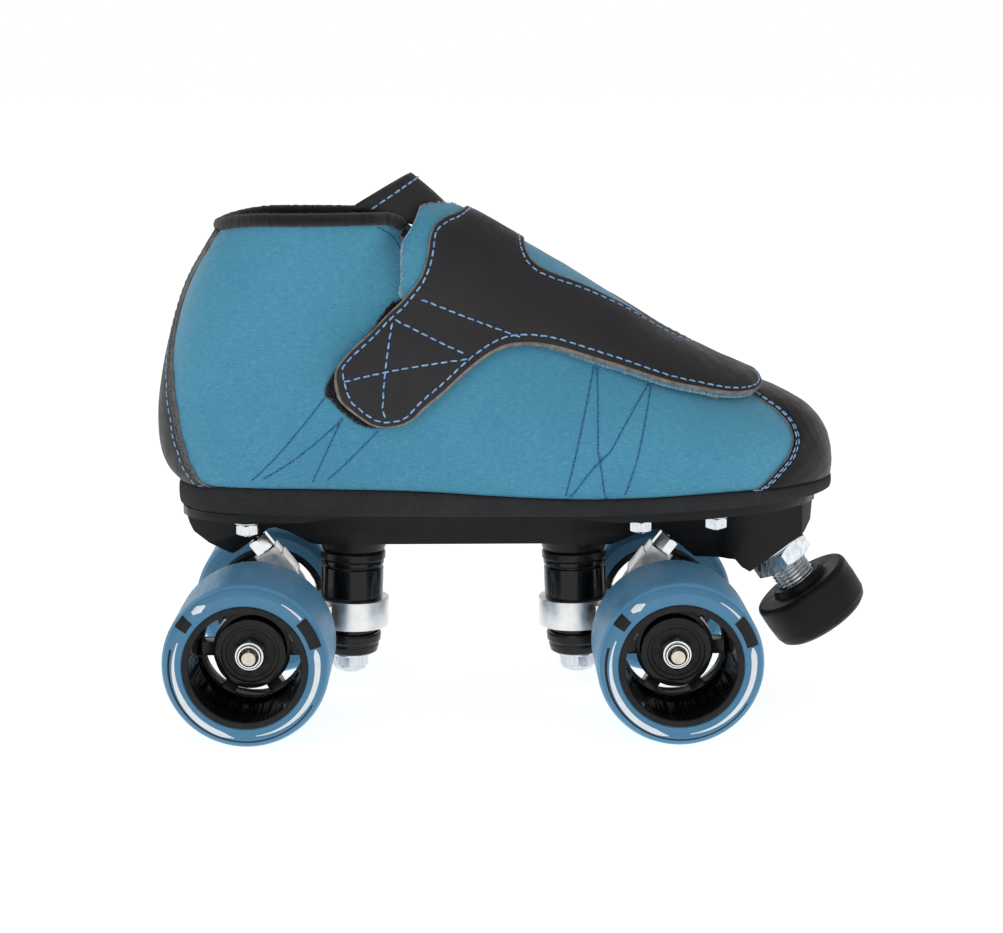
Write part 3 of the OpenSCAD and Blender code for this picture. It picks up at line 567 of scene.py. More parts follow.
LACE = knit("lace_tape", "151518", "25252a", 0.6)
FOAM = foam("sole_foam")
INSOLE = knit("insole_felt", "1e1e21", "2a2a2e", 1.1)
NYLON = plain("nylon_plate", "0d0d0e", 0.34, grain=0.8, depth=0.02, other="141415", mixed=0.5, patch=26,
              specular=0.22, spread=0.07)
HUB = plain("nylon_hub", "070708", 0.20, grain=0.9, depth=0.015, other="0e0e0f", mixed=0.4, patch=14,
            specular=0.3)
HUB_RIM = plain("hub_rim", "161618", 0.5, grain=0.6, depth=0.03, other="222224", mixed=0.5, patch=6,
                specular=0.25)
ALUMINIUM = plain("cast_aluminium", "f0f0ef", 0.36, 1.0, grain=0.45, depth=0.03, other="c9cbcd", mixed=0.3,
                  patch=7)
CHROME = plain("chrome", "eceeef", 0.09, 1.0, grain=1.5, depth=0.01, other="cfd3d6", mixed=0.35,
               spread=0.05)
ZINC = brushed("zinc", "dfe4e8", 0.2, (1, 1, 0.2), 0.015, "a9b7c2", 0.35)
STEEL = brushed("steel", "c4c7ca", 0.26, (1, 6, 1), 0.02)
NICKEL = plain("nickel", "ddd6c9", 0.22, 1.0, grain=0.5, depth=0.02, other="b3a892", mixed=0.4, patch=3)
CUSHION = plain("urethane_cushion", "060607", 0.2, coat=0.15, specular=0.25, grain=1.4, depth=0.015,
                other="151516", mixed=0.4)
RETAINER = plain("black_steel", "0a0a0b", 0.3, specular=0.3, grain=0.5, depth=0.05, other="232324",
                 mixed=0.5, patch=4)
RUBBER = plain("stopper_rubber", "09090a", 0.45, specular=0.2, grain=0.5, depth=0.03, other="101011",
               mixed=0.5, patch=12)
URETHANE = urethane("wheel_urethane", "4d83a6")
# The tread is the same urethane as the face, coloured lighter: painted light.
TREAD_PAINTED_LIGHT = urethane("wheel_tread_painted_light", "639cc2")
PRINT_WHITE = plain("print_white", "e9eef2", 0.45, grain=0.5, depth=0.01, other="cfdbe4", mixed=0.5,
                    patch=5)
PRINT_BLACK = plain("print_black", "0b0c0f", 0.4, specular=0.3, grain=0.5, depth=0.01, other="14181d",
                    mixed=0.5, patch=5)
SHIELD = plain("bearing_shield", "101012", 0.4, specular=0.3, grain=0.5, depth=0.02, other="1c1c20",
               mixed=0.5, patch=4)
EYELET = plain("black_eyelet", "1a1a1c", 0.3, 0.6, grain=0.6, depth=0.02, other="38383b", mixed=0.5,
               patch=4)

# ---------------------------------------------------------------- the upper's surface, as in the solids
# Each row is one section: foot x and z, head x and z, greatest half width, half width at the foot and
# at the head, and how far up the greatest width lies. Sections walk from the toe back, then climb to the
# collar.
SECTIONS = np.array([
    [145.6, 90, 145.9, 93.5, 2, 1, 0, 0.5],
    [142.5, 90, 143.2, 106.5, 15, 12, 0, 0.35],
    [135, 90, 136.5, 115.5, 26, 23, 0, 0.35],
    [124, 90, 126, 121.8, 35, 32, 0, 0.35],
    [110, 89.8, 113, 127, 41, 38.5, 0, 0.35],
    [93, 89.3, 97.5, 132.5, 44.5, 42, 0, 0.33],
    [72, 88.3, 78, 141.5, 45.5, 43, 0, 0.3],
    [46, 87.5, 58, 155.5, 43.5, 41, 0, 0.28],
    [16, 88, 36, 169, 39.5, 37, 0, 0.28],
    [-18, 89.5, 14, 180, 36, 33.5, 0, 0.3],
    [-52, 90, -4, 187.5, 35, 31.5, 0, 0.34],
    [-82, 90, -18, 190, 34.5, 28.5, 0, 0.38],
    [-101, 90, -30, 190, 34, 20, 19.5, 0.4],
    [-111.5, 93, -41, 190, 33.5, 7, 25, 0.42],
    [-116.8, 100, -51, 190, 33, 0, 28, 0.45],
    [-118, 112, -60, 190, 32.5, 0, 29.5, 0.48],
    [-116.8, 126, -68, 190, 31.5, 0, 29.5, 0.55],
    [-112.8, 145, -76, 190, 30, 0, 28, 0.65],
    [-106.3, 165, -84, 189.3, 26, 0, 24, 0.75],
    [-98.5, 179, -90.5, 188, 19, 0, 17.5, 0.85],
    [-94.6, 185.5, -93.6, 187, 6, 0, 5.5, 0.9]])
LAST = len(SECTIONS) - 1
TOE_BEND = 8
TOE_X = 147
RIM_T = 12


def bend(x):
    return TOE_BEND * (np.maximum(x, 0) / TOE_X) ** 2


def between_rows(p0, p1, p2, p3, f):
    """The smooth curve through four rows, at a share f of the way from the second to the third."""
    return 0.5 * (2 * p1 + f * (p2 - p0) + f ** 2 * (2 * p0 - 5 * p1 + 4 * p2 - p3)
                  + f ** 3 * (3 * p1 - p0 - 3 * p2 + p3))


def spline(rows, t):
    """Smooth interpolation through rows, where t counts rows."""
    rows = np.asarray(rows, float)
    n = len(rows) - 1
    c = np.clip(t, 0, n)
    i = np.minimum(np.floor(c).astype(int), n - 1)
    f = (c - i)[..., None]
    p0, p1, p2, p3 = rows[np.maximum(i - 1, 0)], rows[i], rows[i + 1], rows[np.minimum(i + 2, n)]
    return between_rows(p0, p1, p2, p3, f)


def upper(t, a):
    """A point of the upper: t is the section, a runs from -1 (outer sole edge) over 0 (ridge) to 1."""
    t, a = np.broadcast_arrays(np.asarray(t, float), np.asarray(a, float))
    s = spline(SECTIONS, t)
    turn = np.radians(90 - 180 * np.abs(a))
    low = turn < 0
    wide = np.clip(np.cos(turn), 0, 1)
    y = np.where(low, s[..., 5] + (s[..., 4] - s[..., 5]) * wide,
                 s[..., 6] + (s[..., 4] - s[..., 6]) * wide ** 0.85)
    g = np.where(low, s[..., 7] * (1 + np.sin(turn)), s[..., 7] + (1 - s[..., 7]) * np.sin(turn))
    x = s[..., 0] + (s[..., 2] - s[..., 0]) * g
    z = s[..., 1] + (s[..., 3] - s[..., 1]) * g
    return np.stack([x, bend(x) + np.sign(a) * y, z], -1)


def outward(t, a):
    e = 1e-3
    t, a = np.asarray(t, float), np.asarray(a, float)
    dt = upper(np.minimum(t + e, LAST), a) - upper(np.maximum(t - e, 0), a)
    da = upper(t, np.minimum(a + e, 1)) - upper(t, np.maximum(a - e, -1))
    n = np.cross(da, dt)
    return n / np.maximum(np.linalg.norm(n, axis=-1, keepdims=True), 1e-9)


def raised(t, a, lift):
    t, a, lift = np.broadcast_arrays(np.asarray(t, float), np.asarray(a, float), np.asarray(lift, float))
    p = upper(t, a) + lift[..., None] * outward(t, a)
    foot = spline(SECTIONS, np.minimum(t, RIM_T))[..., 1] + 0.05
    p[..., 2] = np.maximum(p[..., 2], foot)
    return p


# Flat layout of the upper for outlines and cloth: about 26 mm a section and 108 mm of half girth.
FLAT = np.array([26.0, 108.0])


def bumps(t, a, scale=1.0):
    """A smooth unevenness of the cloth, from -1 to 1."""
    u, v = np.asarray(t) * FLAT[0] * scale, np.asarray(a) * FLAT[1] * scale
    return (np.sin(u * 0.113 + 1.3 * np.sin(v * 0.071)) * np.sin(v * 0.093 + 0.7)
            + 0.5 * np.sin(u * 0.241 + v * 0.187 + 2.1) + 0.3 * np.sin(u * 0.41 - v * 0.37)) / 1.8


def cloth_lift(t, a):
    """How far the canvas stands off the upper's smooth shape."""
    return 0.22 * bumps(t, a) * np.sin(np.clip(np.abs(a), 0, 1) * math.pi)


def curve_through(points, step, closed=False):
    """Points about step mm apart on a smooth curve through (t, a) points, in the flat layout."""
    p = np.asarray(points, float) * FLAT
    n = len(p)
    out = []
    for k in range(n if closed else n - 1):
        if closed:
            p0, p1, p2, p3 = p[k - 1], p[k], p[(k + 1) % n], p[(k + 2) % n]
        else:
            p0, p1, p2, p3 = p[max(k - 1, 0)], p[k], p[k + 1], p[min(k + 2, n - 1)]
        count = max(int(np.linalg.norm(p2 - p1) / step + 0.5), 1)
        out += [between_rows(p0, p1, p2, p3, f) for f in np.arange(count) / count]
    if not closed:
        out.append(p[-1])
    return np.array(out)


def inside(points, loop):
    """Which points lie inside a closed loop."""
    x, y = points[:, 0][:, None], points[:, 1][:, None]
    x0, y0 = loop[:, 0], loop[:, 1]
    x1, y1 = np.roll(x0, -1), np.roll(y0, -1)
    crosses = ((y0 > y) != (y1 > y)) & (x < (x1 - x0) * (y - y0) / np.where(y1 == y0, 1e-12, y1 - y0) + x0)
    return crosses.sum(1) % 2 == 1


def distance(points, line, closed=False):
    """Distance from each point to a line of points, all in the flat layout."""
    a = line if closed else line[:-1]
    b = np.roll(line, -1, 0) if closed else line[1:]
    best = np.full(len(points), 1e9)
    for lo in range(0, len(points), 2000):
        p = points[lo:lo + 2000, None]
        d = b - a
        f = np.clip(((p - a) * d).sum(-1) / np.maximum((d * d).sum(-1), 1e-9), 0, 1)
        best[lo:lo + 2000] = np.linalg.norm(p - (a + f[..., None] * d), axis=-1).min(1)
    return best


def inset(loop, depth):
    """A closed loop moved inwards."""
    ahead = np.roll(loop, -1, 0) - np.roll(loop, 1, 0)
    ahead /= np.maximum(np.linalg.norm(ahead, axis=1, keepdims=True), 1e-9)
    left = np.stack([-ahead[:, 1], ahead[:, 0]], 1)
    area = (loop[:, 0] * np.roll(loop[:, 1], -1) - np.roll(loop[:, 0], -1) * loop[:, 1]).sum()
    return loop + np.sign(area) * depth * left


def cloth_layout(points):
    """Flat cloth coordinates, in metres, that follow the upper: along the skate and up its side."""
    p = np.asarray(points, float)
    side = np.sign(p[:, 1] + 1e-6)
    return np.stack([p[:, 0] * MM, (p[:, 2] - side * 0.6 * p[:, 1]) * MM], 1)


def panel(name, loop, lift, thick, body, materials, spacing=1.8, holes=(), grooves=(), stands_for=(),
          soft_edge=0.45, sink=0.3, band=0.0):
    """A cut piece of cloth or leather lying over the upper inside a loop, lift mm off it, thick mm thick.
    materials are for its face, its back and its cut edge, which shows as a band on the face too."""
    low, high = loop.min(0), loop.max(0)
    us = np.arange(low[0], high[0], spacing)
    vs = np.arange(low[1], high[1], spacing)
    mesh_points = np.array([(u + (k % 2) * spacing / 2, v) for k, v in enumerate(vs) for u in us])
    clear = max(spacing * 0.5, band + 0.4)
    mesh_points = mesh_points[inside(mesh_points, loop)]
    mesh_points = mesh_points[distance(mesh_points, loop, True) > clear]
    loops = [loop, *holes]
    if band:
        loops += [inset(loop, band), *[inset(hole, -band) for hole in holes]]
    for hole in holes:
        mesh_points = mesh_points[~inside(mesh_points, hole)]
        mesh_points = mesh_points[distance(mesh_points, hole, True) > clear]
    flat = np.concatenate([*loops, mesh_points])
    edges, start = [], 0
    for one in loops:
        edges += [(start + k, start + (k + 1) % len(one)) for k in range(len(one))]
        start += len(one)
    out = delaunay_2d_cdt([Vector(p) for p in flat], edges, [], 0, 1e-5)
    flat = np.array([list(v) for v in out[0]])
    faces = np.array(out[2])
    centres = flat[faces].mean(1)
    kept = inside(centres, loop)
    for hole in holes:
        kept &= ~inside(centres, hole)
    faces = faces[kept]
    t, a = flat[:, 0] / FLAT[0], flat[:, 1] / FLAT[1]
    edge = distance(flat, loop, True)
    for hole in holes:
        edge = np.minimum(edge, distance(flat, hole, True))
    drop = soft_edge * np.clip(1 - edge / 1.6, 0, 1) ** 2
    for line in grooves:
        drop = drop + sink * np.exp(-(distance(flat, line) / 1.0) ** 2)
    under = lift(t, a)
    top = raised(t, a, under + thick - drop)
    bottom = raised(t, a, under)
    n = len(flat)
    corner = flat[faces]
    side = np.cross(corner[:, 1] - corner[:, 0], corner[:, 2] - corner[:, 0])
    faces = np.where(side[:, None] > 0, faces[:, ::-1], faces)
    pairs = {}
    for f in faces:
        for k in range(3):
            pairs[(f[k], f[(k + 1) % 3])] = True
    rim = [(i, j) for i, j in pairs if (j, i) not in pairs]
    points = np.concatenate([top, bottom])
    everything = [list(f) for f in faces] + [[i + n for i in f[::-1]] for f in faces]
    near = edge[faces].mean(1)
    kinds = [2 if d < band * 0.75 else 0 for d in near] + [1] * len(faces)
    everything += [[j, i, i + n, j + n] for i, j in rim]
    kinds += [2] * len(rim)
    uv = cloth_layout(points)
    made = piece(name, points, everything, body, materials, stands_for, kinds, uv, sharp=50)
    made["area"] = float(triangle_area(top, faces))
    return made


def triangle_area(points, faces):
    p = points[np.asarray(faces)]
    return (np.linalg.norm(np.cross(p[:, 1] - p[:, 0], p[:, 2] - p[:, 0]), axis=1).sum() / 2) * MM * MM


def walker(path, normal):
    """A path's length, and a function that gives the point and the normal at a distance along it."""
    run = np.concatenate([[0], np.cumsum(np.linalg.norm(np.diff(path, axis=0), axis=1))])

    def at(s):
        p, n = [np.array([np.interp(s, run, rows[:, k]) for k in range(3)]) for rows in (path, normal)]
        return p, n / np.linalg.norm(n)

    return run[-1], at


def sewn(build, line, lift, pitch=3.7, length=2.7, radius=0.34, seed=1, proud=0.22):
    """Adds a row of stitches along a flat-layout line, with flat dark marks between them: painted shade of
    the needle holes.
    """
    rng = random.Random(seed)
    t, a = line[:, 0] / FLAT[0], line[:, 1] / FLAT[1]
    whole, at = walker(raised(t, a, lift(t, a)), outward(t, a))
    for k in range(int(whole / pitch)):
        start = (k + 0.12) * pitch + rng.uniform(-0.12, 0.12)
        p0, n0 = at(start)
        p1, _ = at(start + length)
        along = (p1 - p0) / max(np.linalg.norm(p1 - p0), 1e-9)
        across = np.cross(along, n0) * rng.uniform(-0.14, 0.14)
        spots, sizes = [], []
        for f, up, size in ((0, -0.35, 0.55), (0.12, 0.1, 0.95), (0.5, proud, 1), (0.88, 0.1, 0.95),
                            (1, -0.35, 0.55)):
            p, n = at(start + f * length)
            spots.append(p + n * up + across * (f - 0.5) * 2)
            sizes.append(radius * size)
        build.add(*tube(spots, sizes, 6, 0.85, [n0] * 5), 0)
        # Painted shade: a flat dark blob over the needle hole after each stitch.
        p, n = at(start + length + (pitch - length) / 2)
        build.add(*tube([p - along * 0.55 + n * 0.02, p + n * 0.07, p + along * 0.55 + n * 0.02],
                        [0.16, 0.36, 0.16], 6, 0.4, [n] * 3), 1)
    return build


def fibres(build, line, lift, count, reach, out_sign, seed, kind=0, thick=0.11):
    """Adds loose threads that stick out of a cut cloth edge."""
    rng = random.Random(seed)
    ahead = np.gradient(line, axis=0)
    for _ in range(count):
        k = rng.uniform(0, len(line) - 1.001)
        i, f = int(k), k - int(k)
        spot = line[i] * (1 - f) + line[i + 1] * f
        d = ahead[i] / max(np.linalg.norm(ahead[i]), 1e-9)
        side = np.array([-d[1], d[0]]) * out_sign
        far = reach * rng.uniform(0.35, 1)
        turn = rng.uniform(-0.9, 0.9)
        tips = [spot - side * 0.5, spot + side * far * 0.5 + d * turn * far * 0.3,
                spot + side * far + d * turn * far]
        ups = [rng.uniform(0.1, 0.9), rng.uniform(0.0, 1.0), rng.uniform(-0.3, 1.2)]
        points = [raised(p[0] / FLAT[0], p[1] / FLAT[1], lift(p[0] / FLAT[0], p[1] / FLAT[1]) + up)
                  for p, up in zip(tips, ups)]
        build.add(*tube(points, [thick, thick * 0.8, thick * 0.35], 4), kind)
    return build


# ---------------------------------------------------------------- boot: quarters, toe cap and heel strip
CANVAS_T = 1.6
LEATHER_T = 1.4
THROAT_A = 0.16
BACK_A = 0.995
COLLAR_T = 19.6


def gap_a(t):
    return np.interp(t, [10.4, 11, 11.5, RIM_T], [THROAT_A, 0.12, 0.07, 0.004])


# Rows of stitching down the outer quarter, from under the lace cover and the strap to the sole.
QUARTER_SEAMS = [
    [(10.67, -0.497), (10.85, -0.7), (11.06, -0.894)],
    [(10.24, -0.561), (10.56, -0.72), (10.9, -0.863)],
    [(10.26, -0.564), (10.23, -0.72), (10.21, -0.882)],
    [(9.71, -0.583), (9.9, -0.72), (10.06, -0.851)],
    [(7.22, -0.296), (7.25, -0.6), (7.27, -0.975)],
    [(7.17, -0.296), (6.87, -0.6), (6.69, -0.975)],
    [(6.3, -0.275), (6.95, -0.6), (7.22, -0.912)],
    [(6.26, -0.269), (6.38, -0.6), (6.49, -0.975)],
    [(12.15, -0.054), (11.5, -0.12), (10.88, -0.186)]]


def seam_lines(side):
    return [curve_through([(t, -side * a) for t, a in row], 1.5) for row in QUARTER_SEAMS]


def side_grid(side, t, near, far, cols):
    """Sections and girths of a grid over one side of the upper, from one girth to another."""
    a = side * (near + (far - near) * np.linspace(0, 1, cols)[None])
    t = np.broadcast_to(t, a.shape)
    return (t[:, ::-1], a[:, ::-1]) if side < 0 else (t, a)


def skin(t, a, over, under):
    """Points of a shell over the upper: its face at one lift, then its back at another."""
    t, a = t.ravel(), a.ravel()
    return np.concatenate([raised(t, a, np.ravel(over)), raised(t, a, np.ravel(under))])


def quarter(side, name, node):
    rows, cols = 190, 60
    t = np.linspace(2.3, COLLAR_T, rows)[:, None]
    t, a = side_grid(side, t, gap_a(t), BACK_A, cols)
    flat = np.stack([t.ravel() * FLAT[0], a.ravel() * FLAT[1]], 1)
    sink = np.zeros(len(flat))
    for line in seam_lines(side):
        sink += 0.28 * np.exp(-(distance(flat, line) / 1.3) ** 2)
    lift = cloth_lift(t, a).ravel() - sink
    points = skin(t, a, lift, -CANVAS_T)
    faces, kinds = shell_faces(rows, cols)
    made = piece(name, points, faces, "skate", [CANVAS, CANVAS_BACK, CANVAS_RAW], [node],
                 kinds, cloth_layout(points), sharp=50)
    return made


quarter(-1, "quarter_outer_canvas", "outer_quarter")
quarter(1, "quarter_inner_canvas", "inner_quarter")

# Rear edge of the toe cap at each girth, the same on both sides.
CAP_EDGE = [(0, 4.2), (0.1, 4.2), (0.173, 4.14), (0.215, 3.58), (0.296, 3.07), (0.39, 2.89), (0.487, 3.07),
            (0.667, 3.47), (0.926, 3.97), (0.99, 4.1)]


def smooth_table(rows, x):
    """Smooth interpolation in a table of (x, value) rows."""
    xs, ys = [r[0] for r in rows], [r[1] for r in rows]
    wide = np.linspace(-0.03, 0.03, 7)
    return np.mean([np.interp(x + w, xs, ys) for w in wide], axis=0)


# How far the toe cap's two rows of stitches lie from its edge.
CAP_ROWS = (1.9, 4.2)


def cap_edge(a):
    return smooth_table(CAP_EDGE, np.abs(a))


def toe_cap():
    rows, cols = 70, 150
    a = np.broadcast_to(np.linspace(-0.99, 0.99, cols)[None], (rows, cols))
    s = np.linspace(0, 1, rows)[:, None]
    t = 0.02 + (cap_edge(a) - 0.02) * s
    near = (1 - s) * (cap_edge(a) - 0.02) * FLAT[0]
    lift = LEATHER_T - 0.45 * np.clip(1 - near / 1.6, 0, 1) ** 2 + 0.12 * bumps(t, a, 1.4)
    for depth in CAP_ROWS:
        lift = lift - 0.25 * np.exp(-((near - depth) / 0.9) ** 2)
    points = skin(t, a, lift, np.where(t < 0.6, -0.4, 0.06))
    faces, kinds = shell_faces(rows, cols)
    return piece("toe_cap_leather", points, faces, "skate", [CAP_LEATHER, CANVAS_BACK, LEATHER_RAW],
                 ["toe_cap"], kinds, sharp=50)


toe_cap()

# Front edge of the heel strip, as the girth at each section.
STRIP_EDGE = [(11.3, 0.99), (11.41, 0.986), (11.92, 0.927), (12.48, 0.838), (13.38, 0.765), (14.54, 0.735),
              (15.72, 0.761), (16.58, 0.817), (17.7, 0.9), (18.3, 0.84), (18.95, 0.66), (19.4, 0.45),
              (20, 0.3)]


def strip_edge(t):
    return np.interp(t, [r[0] for r in STRIP_EDGE], [r[1] for r in STRIP_EDGE])


def heel_strip():
    rows, cols = 90, 26
    build = Build()
    faces, kinds = shell_faces(rows, cols)
    for side in (-1, 1):
        t = np.linspace(11.32, LAST - 0.03, rows)[:, None]
        t, a = side_grid(side, t, strip_edge(t), BACK_A, cols)
        near = np.broadcast_to(np.linspace(0, 20, cols)[::side], a.shape)
        lift = 0.25 + LEATHER_T - 0.4 * np.clip(1 - near / 1.6, 0, 1) ** 2
        near = near.ravel()
        shown = [3 if k == 0 and near[f].mean() < 1.9 else k for f, k in zip(faces, kinds)]
        build.add(skin(t, a, lift, 0.2), faces, shown)
    return build.made("heel_strip_leather", "skate", [LEATHER, CANVAS_BACK, LEATHER_RAW, STRIP_RAW],
                      "leather_black", ["heel_counter"], sharp=50)


heel_strip()


def lining():
    """The lining and the padding behind it, from the toe to the collar."""
    build = Build()
    rows, cols = 120, 36
    faces, kinds = shell_faces(rows, cols)
    for side in (-1, 1):
        t = np.linspace(0.6, COLLAR_T, rows)[:, None]
        gap = np.where(t < 4.2, 0.02 + 0.14 * np.clip((t - 3.4) / 0.8, 0, 1), gap_a(t))
        t, a = side_grid(side, t, gap, BACK_A, cols)
        inner = -CANVAS_T - 1.5 + 0.15 * bumps(t, a, 2)
        build.add(skin(t, a, -CANVAS_T - 0.05, inner), faces, [0 if k == 0 else 1 for k in kinds])
    return build.made("lining_knit_shell", "skate", [LINING, LINING], "textile_black", ["lining"], sharp=60)


lining()


def collar_binding():
    """Rolled tape along the collar's rim, from the outer front corner round the heel to the inner one."""
    up = np.concatenate([np.linspace(11.15, RIM_T, 18)[:-1], np.linspace(RIM_T, LAST - 0.04, 124)])
    gap = np.maximum(gap_a(up), 1e-3)
    path = np.concatenate([upper(up, -gap), upper(up[::-1], gap[::-1])])
    run = np.arange(len(path))
    path[:, 2] += 1.9 + 0.1 * np.sin(run * 0.9) * np.sin(run * 0.13)
    sizes = 2.25 + 0.08 * np.sin(run * 1.7) * np.sin(run * 0.31)
    sizes[:3] = sizes[-3:] = 1.7
    points, faces = tube(path, sizes, 16, 1.15)
    return piece("collar_binding_tape", points, faces, "skate", [BINDING],
                 ["collar_binding"], sharp=60)


collar_binding()

# ---------------------------------------------------------------- boot: tongue, eyestays and laces
# The tongue along its centre line: x, z, half width, how far its edges drop, the turn they make in degrees,
# and how far they reach forward.
TONGUE = [[112, 121.5, 9, 1.4, 18, 0], [97, 128.5, 11, 2, 22, 0], [78, 138, 12, 2.5, 24, 0],
          [58, 151.5, 12.5, 2.7, 25, 0], [36, 165.5, 12.5, 3, 27, 0], [16, 178, 12.5, 3.1, 28, 0],
          [3, 187, 13, 4, 32, 0], [-4, 194, 14.5, 9, 50, 1], [-11.5, 201.5, 16.5, 18, 68, 4],
          [-20.2, 209.2, 18.5, 25, 80, 7.5]]
TONGUE_T = 5


def tongue_point(t, s, depth):
    """A point of the tongue: s from -1 to 1 across it, depth mm under its outer face."""
    t, s, depth = np.broadcast_arrays(np.asarray(t, float), np.asarray(s, float), np.asarray(depth, float))
    row = spline(TONGUE, t)
    ahead = spline(TONGUE, t + 0.02) - spline(TONGUE, t - 0.02)
    run = ahead[..., :2] / np.linalg.norm(ahead[..., :2], axis=-1, keepdims=True)
    end = np.radians(row[..., 4])
    wide, deep = row[..., 2] / np.sin(end), row[..., 3] / (1 - np.cos(end))
    turn = end * s
    part = (1 - np.cos(turn)) / (1 - np.cos(end))
    inward = np.stack([-deep * np.sin(turn), wide * np.cos(turn)], -1)
    inward /= np.linalg.norm(inward, axis=-1, keepdims=True)
    y = wide * np.sin(turn) + depth * inward[..., 0]
    drop = row[..., 3] * part + depth * inward[..., 1]
    reach = row[..., 5] * part
    return np.stack([row[..., 0] - run[..., 1] * drop + run[..., 0] * reach, bend(row[..., 0]) + y,
                     row[..., 1] + run[..., 0] * drop + run[..., 1] * reach], -1)


def tongue():
    rows, half = 90, 22
    ts = np.linspace(0, len(TONGUE) - 1, rows)
    across = np.sin(np.linspace(-math.pi / 2, math.pi / 2, half))
    points = []
    for t in ts:
        end = np.clip(min(t, len(TONGUE) - 1 - t) / 0.12, 0, 1) ** 0.5
        puff = 0.35 * math.sin(t * 1.1)
        thick = (TONGUE_T / 2 + puff) * (0.35 + 0.65 * end) * np.sqrt(np.clip(1 - across ** 6, 0, 1))
        middle_depth = TONGUE_T / 2
        outer = tongue_point(np.full(half, t), across, middle_depth - thick)
        inner = tongue_point(np.full(half, t), across[::-1], (middle_depth + thick)[::-1])
        points.append(np.concatenate([outer, inner[1:-1]]))
    loop = len(points[0])
    points = np.concatenate(points)
    faces = grid_faces(rows, loop, wrap_cols=True)
    kinds = [0 if (k % loop) < half - 1 else 1 for k in range(len(faces))]
    faces += [list(range(loop))[::-1], [(rows - 1) * loop + k for k in range(loop)]]
    made = piece("tongue_pad", points, faces, "skate", [LEATHER, LINING], ["tongue"],
                 kinds + [0, 0], sharp=60)
    return made


tongue()


def eyestays():
    """A leather strip with seven eyelets along each side of the lacing gap."""
    build = Build()
    rows, cols = 70, 10
    faces, kinds = shell_faces(rows, cols)
    for side in (-1, 1):
        t = np.linspace(5.0, 11.25, rows)[:, None]
        t, a = side_grid(side, t, gap_a(t) + 0.003, np.interp(t, [9.9, 11.25], [0.25, 0.13]), cols)
        build.add(skin(t, a, 0.3 + LEATHER_T, 0.25), faces, kinds)
    made = build.made("eyestay_leather", "skate", [LEATHER, CANVAS_BACK, LEATHER_RAW], "leather_black",
                      ["eyestays"], sharp=50)
    rings = Build()
    for side in (-1, 1):
        for t in EYELETS:
            spot = raised(t, side * 0.195, 0.3 + LEATHER_T)
            rings.put(lathe([(1.9, 0), (3.6, 0), (3.4, 0.55), (1.9, 0.6)], 0.25, 28),
                      frame_of(spot, outward(t, side * 0.195), (1, 0, 0.1)))
    rings.made("lace_eyelets", "skate", [EYELET], "leather_black")
    return made


EYELETS = np.linspace(5.3, 9.3, 7)


def laces():
    """A flat lace crossed through the eyelets, laid over itself in turn."""
    build = Build()

    def ribbon(path, lift_path, half_width):
        path = np.asarray(path, float)
        t, a = path[:, 0], path[:, 1]
        spots = raised(t, a, np.asarray(lift_path))
        normal = outward(t, a)
        ahead = np.gradient(spots, axis=0)
        ahead /= np.linalg.norm(ahead, axis=1, keepdims=True)
        side = np.cross(ahead, normal)
        side /= np.linalg.norm(side, axis=1, keepdims=True)
        profile = [(-1, 0), (-0.92, 0.42), (0, 0.5), (0.92, 0.42), (1, 0), (0.92, -0.42), (0, -0.5),
                   (-0.92, -0.42)]
        points = np.array([spots + side * half_width * w + normal * 1.0 * h for w, h in profile])
        points = points.transpose(1, 0, 2).reshape(-1, 3)
        count = len(profile)
        faces = grid_faces(len(path), count, wrap_cols=True, flip=True)
        faces += [list(range(count)), [(len(path) - 1) * count + k for k in range(count)][::-1]]
        build.add(points, faces)

    reach = np.linspace(-0.2, 0.2, 25)
    ribbon([(EYELETS[0], a) for a in reach], 2.1 + 0.9 * np.cos(reach / 0.2 * 1.4), 3.2)
    for k in range(len(EYELETS) - 1):
        for side in (-1, 1):
            path = [(EYELETS[k] + (EYELETS[k + 1] - EYELETS[k]) * (0.5 + side * a / 0.4), a) for a in reach]
            over = 0.25 if (side > 0) == (k % 2 == 0) else -0.25
            ribbon(path, 2.15 + (0.75 + over) * np.cos(reach / 0.2 * 1.4), 3.0)
    return build.made("crossed_laces", "skate", [LACE], "textile_black", ["laces"], sharp=60)


eyestays()
laces()

# ---------------------------------------------------------------- strap fastener
LOOP_LOW = 0.2


def loop_lift(t, a):
    return np.full(np.shape(t), LOOP_LOW)


LOOP_OUTLINE = [(8.8, -0.3), (9.4, -0.29), (10.36, -0.309), (10.54, -0.371), (10.77, -0.472),
                (10.45, -0.518), (10.0, -0.566), (9.73, -0.569), (9.42, -0.535), (9.25, -0.46),
                (9.1, -0.38)]


def loop_pad():
    loop = curve_through(LOOP_OUTLINE, 1.5, True)
    panel("loop_pad_fuzz", loop, loop_lift, 0.75, "skate", [HOOKS, HOOKS, HOOKS], 2.0,
          stands_for=["loop_pad"], soft_edge=0.2)
    build = Build()
    rim = curve_through(LOOP_OUTLINE[1:9], 1.0)
    fibres(build, rim, lambda t, a: loop_lift(t, a) + 0.3, 900, 0.9, 1, 7, thick=0.09)
    fibres(build, inset(loop, 1.2)[20:90], lambda t, a: loop_lift(t, a) + 0.5, 500, 0.8, 1, 8, thick=0.09)
    build.made("loop_pad_fibres", "skate", [HOOKS], "hook_and_loop")


loop_pad()

# ---------------------------------------------------------------- lace cover
# Height of the cover's underside above the upper at the ridge, and how it falls to the cover's sides.
RIDGE_LIFT = [(3.9, 2.1), (4.6, 3.0), (5.6, 4.3), (6.3, 4.3), (7.2, 3.8), (8, 4.2), (9, 5.3), (9.6, 6.8),
              (10, 7.4), (10.4, 8.8), (12, 9.4)]
SIDE_FALL = [(0, 1), (0.12, 0.9), (0.21, 0.62), (0.26, 0.3), (0.32, 0)]
SIDE_LIFT = 1.95
COVER_T = 1.2
OVERLAY_GAP = 0.1


